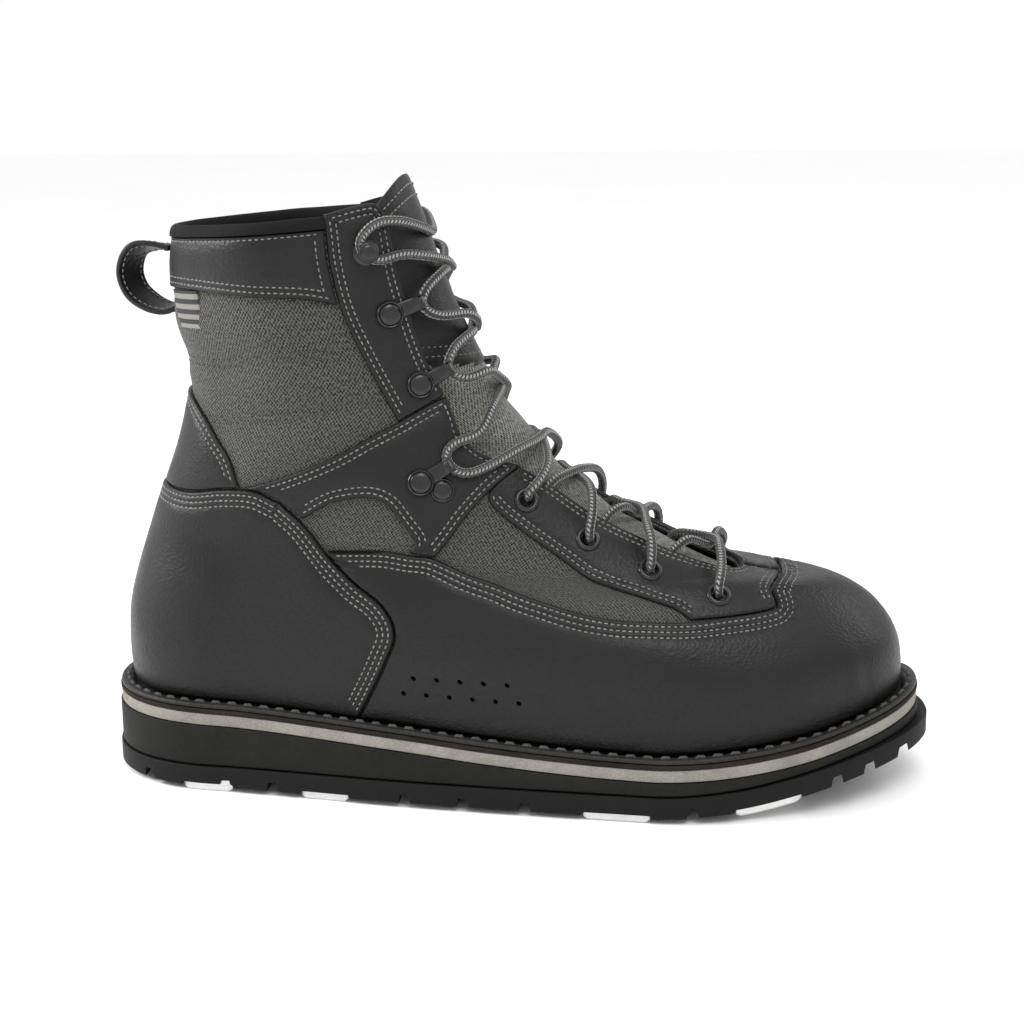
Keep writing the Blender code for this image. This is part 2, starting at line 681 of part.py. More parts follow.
def tread_box(name, place, length, width_y, low, high, make):
    """A block across the sole that follows the tread's slope; low and high are over the tread."""
    x = place * SOLE_LENGTH
    near, far = width_y
    half = length / 2
    slope = (tread(x + half) - tread(x - half)) / length
    across = Vector((1, 0, slope)).normalized()
    up = Vector((-across.z, 0, across.x))
    middle = Vector((x, 0, (tread(x - half) + tread(x + half)) / 2))
    vertices = []
    for height in (low, high):
        for a, y in ((-half, near), (half, near), (half, far), (-half, far)):
            vertices.append(middle + across * a + up * height + Vector((0, y, 0)))
    faces = [(0, 1, 2, 3), (4, 5, 6, 7), (0, 1, 5, 4), (1, 2, 6, 5), (2, 3, 7, 6), (3, 0, 4, 7)]
    return make(name, vertices, faces)


def sole_edges(x):
    """Outer and inner edge of the sole at x."""
    pairs = sole_outline(FLANGE)
    edges = []
    for side in (0, 1):
        rows = [(pair[side].x, pair[side].y) for pair in pairs]
        edges.append(float(np.interp(x, [row[0] for row in rows], [row[1] for row in rows])))
    return edges


def bar_reach(place, length):
    """The y range that a bar may take: inside the sole's edge along its whole length."""
    x = place * SOLE_LENGTH
    spots = [sole_edges(x + shift * length / 2) for shift in (-1, 0, 1)]
    return max(spot[0] for spot in spots) + BAR_MARGIN, min(spot[1] for spot in spots) - BAR_MARGIN


def make_outsole():
    outsole = plate("outsole", FLANGE + OUTSOLE_LIP, lambda x: tread(x) + OUTSOLE_THICK, tread,
                    "rubber", TOE_BUMPER)
    for k, place in enumerate(GROOVES):
        cut(outsole, tread_box("groove_cutter_%d" % k, place, GROOVE_WIDTH, (-FAR, FAR),
                               -GROOVE_DEPTH, GROOVE_DEPTH, cutter))
    for k, (start, end, y) in enumerate(CHANNELS):
        middle, length = (start + end) / 2, (end - start) * SOLE_LENGTH
        cut(outsole, tread_box("channel_cutter_%d" % k, middle, length,
                               (y - CHANNEL_WIDTH / 2, y + CHANNEL_WIDTH / 2),
                               -GROOVE_DEPTH, GROOVE_DEPTH, cutter))
    for name, place, share in BARS:
        length = share * SOLE_LENGTH
        near, far = bar_reach(place, length)
        cut(outsole, tread_box(name + "_pocket", place, length + 2 * FIT, (near - FIT, far + FIT),
                               -BAR_PROUD - BAR_THICK, BAR_THICK - BAR_PROUD + FIT, cutter))


def metal_bar(name, vertices, faces):
    return add_object(name, vertices, faces, "aluminium")


def make_bars():
    for name, place, share in BARS:
        length = share * SOLE_LENGTH
        bar = tread_box(name, place, length, bar_reach(place, length), -BAR_PROUD,
                        BAR_THICK - BAR_PROUD, metal_bar)
        edge = bar.modifiers.new("edge", "BEVEL")
        edge.width = BAR_BEVEL
        edge.segments = 1


def make_sole():
    plate("insole", -(WALL + INSOLE_ROOM), lambda x: board_top(x) + FIT + INSOLE_THICK,
          lambda x: board_top(x) + FIT, "footbed")
    make_stitched_edge()
    plate("leather_midsole", FLANGE, board_top, lambda x: board_top(x) - BOARD_THICK, "board")
    plate("foam_layer", FLANGE - FIT, foam_top, lambda x: foam_top(x) - FOAM_THICK, "foam")
    plate("wedge_midsole", FLANGE + FIT, wedge_top, lambda x: tread(x) + OUTSOLE_THICK + 2 * FIT,
          "wedge")
    make_outsole()
    make_bars()


def make_eyelets():
    base = FIT + OVERLAY + EYELET_SEAT
    tube_radius = EYELET_HOLE + EYELET_TUBE
    section = ((EYELET_HOLE, -0.6 * WALL), (tube_radius, -0.6 * WALL), (tube_radius, base),
               (EYELET_RADIUS, base), (EYELET_HOLE + EYELET_FLANGE, base + EYELET_FLANGE),
               (EYELET_HOLE, base))
    for station in STATIONS:
        if station.kind != "eyelet":
            continue
        for side_name, side in SIDES:
            middle, across, up, out = station_frame(station, side)
            vertices = []
            for radius, height in section:
                vertices += circle(middle + out * height, across, up, radius, PIN_SIDES)
            add_object("%s_%s" % (station.name, side_name), vertices,
                       band_faces(len(section), PIN_SIDES, True), "black_metal")


def hook_heights():
    """Heights over the upper's face of a hook's foot and of the lace that it holds."""
    foot = FIT + OVERLAY + SEAT
    return foot, foot + HOOK_METAL + FIT + LACE / 2


def hook_sections():
    """Side sections of a hook: its riveted disc, then the arm that turns back over the lace."""
    foot, lace = hook_heights()
    disc = ((HOOK_RADIUS, foot), (HOOK_RADIUS, foot + 0.6 * HOOK_DISC),
            (0.8 * HOOK_RADIUS, foot + HOOK_DISC))
    sole = foot + 0.1 * HOOK_METAL
    roof = lace + LACE / 2 + FIT
    bend = HOOK_REACH - HOOK_METAL
    tip = HOOK_LIP * HOOK_REACH
    start = 0.3 * HOOK_RADIUS
    arm = ((start, sole), (bend, sole), (HOOK_REACH, foot + HOOK_METAL),
           (HOOK_REACH, roof + HOOK_METAL / 2), (bend, roof + HOOK_METAL), (tip, roof + HOOK_METAL),
           (tip, roof), (bend, roof), (bend, foot + HOOK_METAL), (start, foot + HOOK_METAL))
    return disc, arm


def make_hooks():
    disc, arm = hook_sections()
    corners = len(arm)
    for station in STATIONS:
        if station.kind != "hook":
            continue
        for side_name, side in SIDES:
            middle, across, up, out = station_frame(station, side)
            name = "%s_%s" % (station.name, side_name)
            vertices = []
            for radius, height in disc:
                vertices += circle(middle + out * height, across, up, radius, HOOK_SIDES)
            faces = band_faces(len(disc), HOOK_SIDES)
            faces += [tuple(range(HOOK_SIDES)), tuple(range(2 * HOOK_SIDES, 3 * HOOK_SIDES))]
            hook = add_object(name, vertices, faces, "black_metal")
            vertices = [middle + across * reach + out * height + up * shift
                        for shift in (-HOOK_WIDTH / 2, HOOK_WIDTH / 2) for reach, height in arm]
            faces = band_faces(2, corners)
            faces += [tuple(range(corners)), tuple(range(corners, 2 * corners))]
            cut(hook, cutter(name + "_arm", vertices, faces), "UNION")


def lace_spot(station, side, shift):
    """Where the lace's middle passes a station, shifted along the facing."""
    middle, across, up, out = station_frame(station, side)
    if station.kind == "hook":
        foot, height = hook_heights()
        reach = HOOK_REACH - HOOK_METAL - FIT - LACE / 2
    else:
        height = FIT + OVERLAY + EYELET_SEAT + EYELET_FLANGE + 2 * FIT + LACE / 2
        reach = 0.0
    return middle + across * reach + out * height + up * shift


def tube(points, radius, sides=6):
    """A closed round tube through points."""
    points = [Vector(p) for p in points]
    vertices = []
    last = len(points) - 1
    axis = None
    for k, point in enumerate(points):
        heading = (points[min(k + 1, last)] - points[max(k - 1, 0)]).normalized()
        if axis is None:
            axis = heading.orthogonal()
        axis = (axis - heading * axis.dot(heading)).normalized()
        vertices += circle(point, axis, heading.cross(axis), radius, sides)
    faces = band_faces(len(points), sides)
    faces += [tuple(range(sides)), tuple(range(last * sides, (last + 1) * sides))]
    return vertices, faces


def crossing_route(low, high, side, over):
    """A lace run from a low station on one side, over the tongue, to the high one opposite."""
    start = [lace_spot(low, side, LACE_GAP), lace_spot(low, side, lace_exit(low))]
    end = [lace_spot(high, -side, -lace_exit(high)), lace_spot(high, -side, -LACE_GAP)]
    ridge = FIT + OVERLAY + LACE * (OVER_HEIGHT if over else UNDER_HEIGHT)
    level = ridge_level((start[0] + end[-1]) / 2)
    throw = [over_tongue(low, side, level, share) for share in bends(low)]
    throw.append(lifted(1.0, level, side, ridge))
    throw += [over_tongue(high, -side, level, share) for share in reversed(bends(high))]
    return start + throw + end


def lace_exit(station):
    """How far the lace runs along the facing before it turns to the throat."""
    if station.kind == "hook":
        return HOOK_WIDTH / 2 + LACE / 2 + 2 * FIT
    return LACE * 0.9


def bends(station):
    return BENDS[1:] if station.along > WIDE_FACING else BENDS


def over_tongue(station, side, level, share):
    """A place on a lace run between a station and the ridge of the tongue."""
    left = (1 - share) ** 2
    along = 1 - (1 - station.along) * left
    return lifted(along, level + (station.level - level) * left, side, FIT + OVERLAY + FIT + LACE)


def ridge_level(spot):
    """The level whose ring comes forward nearest to a spot."""
    tries = [TONGUE_ROOT + k / 10 for k in range(int(10 * (TONGUE_TIP - TONGUE_ROOT)) + 1)]

    def apart(level):
        x, z = ring_ends(level)[1]
        return math.hypot(x - spot.x, z - spot.z)

    return min(tries, key=apart)


def make_laces():
    for k, (low, high) in enumerate(zip(STATIONS, STATIONS[1:])):
        name = "lace_cross_%d" % (k + 1)
        vertices, faces = tube(crossing_route(low, high, -1, True), LACE / 2)
        strand = add_object(name, vertices, faces, "lace")
        vertices, faces = tube(crossing_route(low, high, 1, False), LACE / 2)
        cut(strand, cutter(name + "_under", vertices, faces), "UNION")
    top = STATIONS[-1]
    start = [lace_spot(top, -1, LACE_GAP), lace_spot(top, -1, lace_exit(top))]
    end = [lace_spot(top, 1, lace_exit(top)), lace_spot(top, 1, LACE_GAP)]
    level = ridge_level((start[1] + end[0]) / 2)
    throw = [over_tongue(top, -1, level, BENDS[1]),
             lifted(1.0, level, 1, FIT + OVERLAY + LACE * UNDER_HEIGHT),
             over_tongue(top, 1, level, BENDS[1])]
    vertices, faces = tube(start + throw + end, LACE / 2)
    add_object("lace_top", vertices, faces, "lace")


def make_pull_loop():
    """A leather strap that stands out from the back of the cuff."""
    low_x, low_z = side_place(0, LOOP_LEVELS[0])
    top_x, top_z = side_place(0, LOOP_LEVELS[1])
    low_x -= FIT
    top_x -= FIT + OVERLAY + FIT
    path = []
    for reach, rise in LOOP_PATH:
        back = low_x + (top_x - low_x) * max(rise, 0)
        path.append((back - reach * LOOP_REACH, low_z + rise * (top_z - low_z)))
    path = rounded(path, 2)
    outer, inner = [], []
    for k, (x, z) in enumerate(path):
        ahead, behind = path[min(k + 1, len(path) - 1)], path[max(k - 1, 0)]
        run = Vector((ahead[0] - behind[0], ahead[1] - behind[1])).normalized()
        side = Vector((-run.y, run.x)) * LOOP_THICK / 2
        outer.append((x + side.x, z + side.y))
        inner.append((x - side.x, z - side.y))
    ring = outer + inner[::-1]
    count = len(ring)
    vertices = [(x, y, z) for y in (-LOOP_WIDTH / 2, LOOP_WIDTH / 2) for x, z in ring]
    faces = [(k, (k + 1) % count, count + (k + 1) % count, count + k) for k in range(count)]
    half = len(outer)
    for start in (0, count):
        for k in range(half - 1):
            faces.append((start + k, start + k + 1, start + count - k - 2, start + count - k - 1))
    add_object("pull_loop", vertices, faces, "leather")


def make_side_tag():
    """A small folded tag below the cuff at the back of the outer side."""
    columns, rows = TAG_CELLS

    def place(layer, i, k):
        along = TAG_ALONG[0] + (TAG_ALONG[1] - TAG_ALONG[0]) * k / columns
        level = TAG_LEVELS[0] + (TAG_LEVELS[1] - TAG_LEVELS[0]) * i / rows
        return lifted(along, level, -1, FIT + layer * TAG_THICK)

    pad("side_tag", rows + 1, columns + 1, place, "tag")


def make_boot():
    clear_scene()
    throat = throat_prism()
    holes = hole_cutters()
    make_upper(throat, holes)
    make_tongue()
    make_overlays(throat, holes)
    make_binding()
    make_sole()
    make_eyelets()
    make_hooks()
    make_laces()
    make_pull_loop()
    make_side_tag()


make_boot()
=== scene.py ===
"""Looks of the wading boot: leather panels on a woven upper, stitched to a layered sole.

+X runs to the toe, +Y to the inner side of the foot, +Z up, in metres. The upper is a
last surface S(along, level): along is the share of a ring from back to front, level the
height, and every panel, seam and stitch is drawn on it.
"""
import math
import random

import bmesh
import bpy
import numpy as np
from mathutils import Matrix, Vector, noise
from mathutils.geometry import delaunay_2d_cdt
from mathutils.kdtree import KDTree


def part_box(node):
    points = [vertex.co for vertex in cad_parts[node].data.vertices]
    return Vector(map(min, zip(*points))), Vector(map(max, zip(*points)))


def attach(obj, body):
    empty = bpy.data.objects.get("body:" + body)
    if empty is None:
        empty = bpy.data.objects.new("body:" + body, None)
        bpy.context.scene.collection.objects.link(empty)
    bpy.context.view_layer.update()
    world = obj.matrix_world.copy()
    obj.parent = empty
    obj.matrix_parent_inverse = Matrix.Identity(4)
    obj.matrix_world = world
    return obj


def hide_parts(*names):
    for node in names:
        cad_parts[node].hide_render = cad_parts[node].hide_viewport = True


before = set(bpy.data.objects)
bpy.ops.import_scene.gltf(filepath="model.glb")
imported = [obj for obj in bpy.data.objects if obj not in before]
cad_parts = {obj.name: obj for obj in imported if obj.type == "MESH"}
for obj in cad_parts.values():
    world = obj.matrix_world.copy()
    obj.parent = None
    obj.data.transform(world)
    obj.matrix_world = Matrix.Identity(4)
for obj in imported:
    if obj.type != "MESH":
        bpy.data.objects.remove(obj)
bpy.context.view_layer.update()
rng = random.Random(7)
MM = 0.001

# Sizes of the boot, as in its solid parts
SOLE_LENGTH = 0.318
BALL_WIDTH = 0.099
INSTEP_HEIGHT = 0.088
SHAFT_HEIGHT = 0.091
HEEL_STACK = 0.0355
BALL_STACK = 0.0247
TOE_STACK = 0.040
TOE_SPRING = 0.017
ORIGIN_X = 0.145 * SOLE_LENGTH
FIT = 0.0003
FLANGE = 0.0085
EDGE_LEATHER = 0.0017
BOARD_THICK = 0.0016
FOAM_THICK = 0.0045
OUTSOLE_THICK = 0.0080
OUTSOLE_LIP = 0.0010
TOE_BUMPER = 0.0030
BAR_PROUD = 0.0020
LACE = 0.0035
LACE_PLAIT = 0.0028
LACE_SIDES = 14
LEVEL_RISE = 0.011
COLLAR_LEVEL = 15.8
COLLAR_SHARE = 0.868

# Level, then back and front points: x share, rise and leg shares
PROFILE = np.array((
    (0, 0.031, 0.000, 0.000, 0.969, 0.000, 0.000), (1, 0.028, 0.098, 0.000, 0.969, 0.109, 0.000),
    (2, 0.028, 0.212, 0.000, 0.964, 0.216, 0.000), (3, 0.030, 0.325, 0.000, 0.950, 0.326, 0.000),
    (4, 0.035, 0.416, 0.000, 0.928, 0.428, 0.000), (5, 0.042, 0.507, 0.000, 0.893, 0.520, 0.000),
    (6, 0.050, 0.599, 0.000, 0.843, 0.581, 0.000), (7, 0.060, 0.701, 0.000, 0.780, 0.643, 0.000),
    (8, 0.071, 0.815, 0.000, 0.703, 0.798, 0.000), (9, 0.083, 0.941, 0.000, 0.632, 0.943, 0.000),
    (10, 0.096, 1.000, 0.064, 0.579, 1.000, 0.083), (11, 0.107, 1.000, 0.196, 0.544, 1.000, 0.218),
    (12, 0.114, 1.000, 0.328, 0.506, 1.000, 0.384), (13, 0.110, 1.000, 0.471, 0.473, 1.000, 0.562),
    (14, 0.101, 1.000, 0.624, 0.447, 1.000, 0.750), (15, 0.097, 1.000, 0.800, 0.426, 1.000, 0.930),
    (16, 0.104, 1.000, 0.976, 0.406, 1.000, 1.121), (17, 0.110, 1.000, 1.130, 0.384, 1.000, 1.335)))
# Level, half widths at heel, waist and ball, swings, round shares of back and front, power
WIDTH = np.array((
    (0, 0.355, 0.392, 0.499, -0.055, -0.011, 0.045, 0.14, 0.30, 2.00),
    (2, 0.369, 0.404, 0.501, -0.050, -0.015, 0.040, 0.14, 0.32, 2.05),
    (3, 0.362, 0.403, 0.480, -0.043, -0.015, 0.035, 0.145, 0.35, 1.90),
    (4, 0.353, 0.399, 0.435, -0.035, -0.015, 0.030, 0.15, 0.38, 1.80),
    (5, 0.343, 0.389, 0.390, -0.030, -0.015, 0.025, 0.16, 0.42, 1.85),
    (6, 0.333, 0.379, 0.368, -0.025, -0.015, 0.020, 0.18, 0.50, 2.35),
    (7, 0.326, 0.369, 0.360, -0.020, -0.015, 0.015, 0.20, 0.55, 2.50),
    (8, 0.326, 0.364, 0.355, -0.015, -0.010, 0.010, 0.22, 0.58, 2.20),
    (10, 0.328, 0.364, 0.343, -0.010, -0.005, 0.005, 0.30, 0.60, 2.00),
    (12, 0.313, 0.359, 0.333, 0.000, 0.000, 0.000, 0.36, 0.60, 2.00),
    (14, 0.323, 0.374, 0.348, 0.000, 0.000, 0.000, 0.40, 0.60, 2.05),
    (16, 0.333, 0.389, 0.359, 0.000, 0.000, 0.000, 0.45, 0.58, 2.10),
    (17, 0.338, 0.394, 0.364, 0.000, 0.000, 0.000, 0.45, 0.58, 2.10)))
HEEL_PLACE, WAIST_PLACE, BALL_PLACE = 0.15, 0.40, 0.70
BACK_POWER = 2.1
INNER_FULLNESS = 1.12
SAG_LEVELS = 5.0
SOLE_TOP = np.array(((0, 1, 0), (0.19, 0.91, 0), (0.38, 0.55, 0), (0.50, 0.23, 0), (0.63, 0, 0),
                     (0.74, 0, 0), (0.85, 0, 0.26), (0.94, 0, 0.68), (1, 0, 1)))
TREAD = np.array(((0, 0), (0.70, 0), (0.78, 0.12), (0.85, 0.35), (0.93, 0.68), (1, 0.96)))

# Seams and edges, as (along, level) on one side
THROAT_TOP = ((0.868, 15.80), (0.866, 15.56), (0.850, 14.77), (0.843, 14.16), (0.832, 13.45),
              (0.824, 12.79), (0.820, 12.10))
THROAT_LOW = ((0.886, 10.25), (0.917, 9.65), (0.928, 8.79), (0.947, 8.01), (0.972, 7.44), (0.990, 7.10))
THROAT = THROAT_TOP + ((0.800, 11.40), (0.795, 10.90), (0.832, 10.50)) + THROAT_LOW
CUFF_LOW = ((0.0, 14.64), (0.048, 14.65), (0.177, 14.60), (0.371, 14.47), (0.533, 14.36), (0.632, 14.18))
STRIP_TOP = ((0.658, 15.80), (0.647, 15.12), (0.638, 14.01))
STRIP_BACK = STRIP_TOP + ((0.644, 13.05), (0.649, 12.24), (0.654, 11.46))
ANKLE_TOP = ((0.205, 9.11), (0.303, 9.62), (0.442, 10.38), (0.552, 11.01), (0.676, 11.54),
             (0.760, 11.86), (0.822, 12.05))
ANKLE_THROAT = ((0.822, 12.05), (0.812, 11.60), (0.797, 11.10), (0.822, 10.60), (0.886, 10.25))
ANKLE_FRONT = ((0.886, 10.18), (0.771, 9.49), (0.645, 8.53), (0.528, 7.42))
WINDOW = ((0.490, 7.53), (0.520, 7.90), (0.525, 8.40), (0.526, 8.95), (0.508, 9.17), (0.470, 9.18),
          (0.402, 8.95), (0.325, 8.36))
COUNTER_TOP = ((0.0, 8.64), (0.082, 8.70), (0.160, 8.98), (0.235, 9.08), (0.287, 8.79))
COUNTER_FRONT = ((0.287, 8.79), (0.321, 8.10), (0.337, 6.96), (0.353, 5.50), (0.372, 4.58),
                 (0.381, 3.80), (0.380, 3.04), (0.365, 2.20), (0.346, 1.20), (0.323, 0.00))
BACKSTAY_FRONT = ((0.0, 11.85), (0.020, 11.74), (0.084, 11.19), (0.132, 10.59), (0.176, 9.97),
                  (0.200, 9.12))
VAMP_TOP = ((0.341, 7.33), (0.441, 7.50), (0.484, 7.43), (0.530, 7.31), (0.566, 6.37), (0.587, 5.26),
            (0.625, 4.56), (0.671, 4.20), (0.719, 4.07), (0.768, 4.01), (0.821, 4.09), (0.862, 4.15),
            (0.888, 4.28), (0.899, 4.62))
VAMP_END = ((0.899, 4.62), (0.912, 5.05), (0.940, 5.55), (0.975, 6.02), (1.000, 6.25))
EYESTAY_LOW = ((0.773, 9.50), (0.750, 9.16), (0.749, 8.25), (0.754, 7.43), (0.738, 6.21), (0.744, 5.05),
               (0.764, 4.54), (0.773, 4.10))
TONGUE_EDGE = np.array(((5.9, 0.965), (7, 0.90), (8, 0.86), (10, 0.79), (12, 0.74), (14, 0.76),
                        (17.2, 0.84)))
CHANNELS = (((0.0, 12.80), (0.151, 12.81), (0.298, 12.97), (0.507, 13.10), (0.650, 13.19)),
            ((0.0, 11.10), (0.169, 11.20), (0.288, 11.43), (0.442, 11.72), (0.655, 12.05)))
DRAIN_HOLES = ((0.400, 1.74, 0.519, 1.81, 5), (0.386, 1.18, 0.532, 1.26, 6))
EYELETS = ((0.840, 5.08), (0.873, 7.24), (0.847, 8.10), (0.830, 9.22))
# Share along and level turned roughly into millimetres
ROUGH_MM = np.array((250, 11))
DRAIN_RADIUS = 0.95 * MM
EYELET_HOLE = 2.7 * MM
HOOKS = ((0.632, 9.72), (0.768, 12.34), (0.778, 13.90), (0.772, 15.25))


# The last surface
def shares(spots, place):
    """How much of each row a smooth curve through the rows takes at each place."""
    place = np.clip(np.atleast_1d(place), spots[0], spots[-1])
    count = len(spots)
    i = np.clip(np.searchsorted(spots, place, side="right") - 1, 0, count - 2)
    n = np.arange(len(place))
    before = np.maximum(np.arange(count) - 1, 0)
    after = np.minimum(np.arange(count) + 1, count - 1)
    span = spots[i + 1] - spots[i]
    s = (place - spots[i]) / span
    made = np.zeros((len(place), count))
    for k, value, slope in ((i, 2 * s**3 - 3 * s**2 + 1, s**3 - 2 * s**2 + s),
                            (i + 1, 3 * s**2 - 2 * s**3, s**3 - s**2)):
        made[n, k] += value
        tilt = slope * span / (spots[after[k]] - spots[before[k]])
        made[n, after[k]] += tilt
        made[n, before[k]] -= tilt
    return made


def smooth(rows, place):
    rows = np.asarray(rows, float)
    return shares(rows[:, 0], place) @ rows[:, 1:]


def sole_top(x):
    heel, toe = smooth(SOLE_TOP, x / SOLE_LENGTH).T
    return BALL_STACK + heel * (HEEL_STACK - BALL_STACK) + toe * (TOE_STACK - BALL_STACK)


def tread(x):
    return BAR_PROUD + np.maximum(0, smooth(TREAD, x / SOLE_LENGTH)[:, 0]) * TOE_SPRING


def side_place(along, level):
    """The (x, z) of places on the upper, seen from the side, x from the heel's back."""
    back, back_rise, back_leg, front, front_rise, front_leg = smooth(PROFILE, level).T
    back, front = back * SOLE_LENGTH, front * SOLE_LENGTH
    low = sole_top(back) + back_rise * INSTEP_HEIGHT + back_leg * SHAFT_HEIGHT
    high = sole_top(front) + front_rise * INSTEP_HEIGHT + front_leg * SHAFT_HEIGHT
    x = back + (front - back) * along
    ends = np.array((PROFILE[0, 1], PROFILE[0, 4])) * SOLE_LENGTH
    heel_top, toe_top = sole_top(ends)
    chord = heel_top + (toe_top - heel_top) * along
    sag = np.maximum(0, 1 - level / SAG_LEVELS) ** 1.5
    return x, low + (high - low) * along + sag * (sole_top(x) - chord)


def even(*values):
    """Arrays of one length from numbers or arrays."""
    return [np.array(a, float) for a in np.broadcast_arrays(*[np.atleast_1d(value) for value in values])]


def last(along, level, side):
    """Points of the upper's face; side is -1 on the outer side of the foot, 1 on the inner."""
    along, level, side = even(along, level, side)
    x, z = side_place(along, level)
    heel, waist, ball, mid_swing, ball_swing, tip_swing, back, front, power = smooth(WIDTH, level).T
    half = np.sum(shares(np.array((HEEL_PLACE, WAIST_PLACE, BALL_PLACE)), along)
                  * np.stack((heel, waist, ball), 1), 1)
    none = np.zeros_like(heel)
    swing = np.sum(shares(np.array((0, HEEL_PLACE, WAIST_PLACE, BALL_PLACE, 1.0)), along)
                   * np.stack((none, none, mid_swing, ball_swing, tip_swing), 1), 1)
    power = np.where(side > 0, power * INNER_FULLNESS, power)
    behind = np.clip(1 - along / back, 0, 1)
    ahead = np.clip((along - 1 + front) / front, 0, 1)
    half = half * (1 - behind**BACK_POWER) ** (1 / BACK_POWER)
    half = half * np.maximum(0, 1 - ahead**power) ** (1 / power)
    return np.stack((x - ORIGIN_X, (swing + side * half) * BALL_WIDTH, z), 1)


ROW_STEP = 0.25
ROW_LEVELS = np.arange(0, 17.01, ROW_STEP)
ROW_TURNS = np.linspace(0, 1, 161)
ROW_ALONG = (1 - np.cos(math.pi * ROW_TURNS)) / 2


def measure_rows(side):
    """Length along the upper from the back point, for each level and turn."""
    rows = []
    for level in ROW_LEVELS:
        steps = np.linalg.norm(np.diff(last(ROW_ALONG, level, side), axis=0), axis=1)
        rows.append(np.concatenate(((0,), np.cumsum(steps))))
    return np.array(rows)


RUNS = {-1: measure_rows(-1), 1: measure_rows(1)}


def by_rows(level, side, read):
    """A value read from the two nearest measured rows and mixed between them."""
    place = np.clip(level / ROW_STEP, 0, len(ROW_LEVELS) - 1.001)
    made = np.zeros(len(level))
    for which in (-1, 1):
        for k in np.unique(place.astype(int)):
            chosen = np.flatnonzero((place.astype(int) == k) & (side == which))
            if len(chosen):
                mix = place[chosen] - k
                low, high = read(RUNS[which][k], chosen), read(RUNS[which][k + 1], chosen)
                made[chosen] = low * (1 - mix) + high * mix
    return made


def across(along, level, side, front=False):
    """Signed length round the boot from its back centre, or from its front centre."""
    along, level, side = even(along, level, side)
    turn = np.arccos(1 - 2 * np.clip(along, 0, 1)) / math.pi
    run = by_rows(level, side, lambda row, chosen: np.interp(turn[chosen], ROW_TURNS, row))
    if front:
        run = by_rows(level, side, lambda row, chosen: np.full(len(chosen), row[-1])) - run
    return run * side


def share_along(u, level, front=False):
    """The share along the ring and the side, from a signed length."""
    side = np.where(u > 0, 1.0, -1.0)
    run = np.abs(u)
    if front:
        run = by_rows(level, side, lambda row, chosen: np.full(len(chosen), row[-1])) - run
    turn = by_rows(level, side, lambda row, chosen: np.interp(run[chosen], row, ROW_TURNS))
    return (1 - np.cos(math.pi * turn)) / 2, side


def face(u, level, front=False):
    along, side = share_along(u, level, front)
    return last(along, level, side)


def frame_at(u, level, front=False):
    """Point, outward normal and the two slopes of the upper's face."""
    du, dv = 1.0 * MM, 0.06
    level = np.maximum(level, 0.0)
    point = face(u, level, front)
    slope_u = (face(u + du, level, front) - face(u - du, level, front)) / (2 * du)
    low, high = np.maximum(level - dv, 0.0), level + dv
    slope_v = (face(u, high, front) - face(u, low, front)) / (high - low)[:, None]
    normal = np.cross(slope_u, slope_v) * (1 if front else -1)
    normal /= np.linalg.norm(normal, axis=1)[:, None]
    return point, normal, slope_u, slope_v


def lift(along, level, side, height):
    """Points at a height over the upper's face."""
    along, level, side, height = even(along, level, side, height)
    point, normal, _, _ = frame_at(across(along, level, side), level)
    return point + normal * height[:, None]


# Making pieces
def piece(name, vertices, faces, finish, nodes=(), angle=40, second=None, marks=None):
    mesh = bpy.data.meshes.new(name)
    mesh.from_pydata([tuple(v) for v in vertices], [], [tuple(f) for f in faces])
    mesh.materials.append(finish)
    if second:
        mesh.materials.append(second[0])
        flags = np.zeros(len(mesh.polygons), np.int32)
        flags[second[1]] = 1
        mesh.polygons.foreach_set("material_index", flags)
    for key, values in (marks or {}).items():
        values = np.asarray(values, np.float32)
        kind = "FLOAT_VECTOR" if values.ndim == 2 else "FLOAT"
        layer = mesh.attributes.new(key, kind, "POINT")
        layer.data.foreach_set("vector" if values.ndim == 2 else "value", values.ravel())
    mesh.shade_smooth()
    mesh.set_sharp_from_angle(angle=math.radians(angle))
    mesh.validate()
    obj = bpy.data.objects.new(name, mesh)
    bpy.context.scene.collection.objects.link(obj)
    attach(obj, "root")
    if nodes:
        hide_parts(*nodes)
    return obj


def grid_faces(rows, width, closed=False, ring=False):
    """Quads over rows of points; closed joins each row's ends, ring joins the last row to the first."""
    faces = []
    for i in range(rows if ring else rows - 1):
        for k in range(width if closed else width - 1):
            a, b = i * width + k, i * width + (k + 1) % width
            faces.append((a, b, (b + width) % (rows * width), (a + width) % (rows * width)))
    return faces


def lengths(line):
    """Length along a line of points, from its start to each point."""
    return np.concatenate(((0,), np.cumsum(np.linalg.norm(np.diff(line, axis=0), axis=1))))


def grid_rim(rows, width):
    """Pairs of neighbouring points round the border of a grid."""
    count = rows * width
    rim = list(range(width)) + [i * width + width - 1 for i in range(1, rows)]
    rim += [count - 2 - k for k in range(width - 1)] + [i * width for i in range(rows - 2, 0, -1)]
    return list(zip(rim, rim[1:] + rim[:1]))


def fair(points, step):
    """Points at even distances along a smooth curve through the given points."""
    points = np.asarray(points, float)
    spots = lengths(points)
    line = smooth(np.column_stack((spots, points)), np.linspace(0, spots[-1], 24 * len(points)))
    run = lengths(line)
    places = np.linspace(0, run[-1], max(2, int(round(run[-1] / step)) + 1))
    return np.column_stack([np.interp(places, run, line[:, k]) for k in range(line.shape[1])])


def headings(line):
    made = np.gradient(line, axis=0)
    return made / np.maximum(np.linalg.norm(made, axis=1)[:, None], 1e-12)


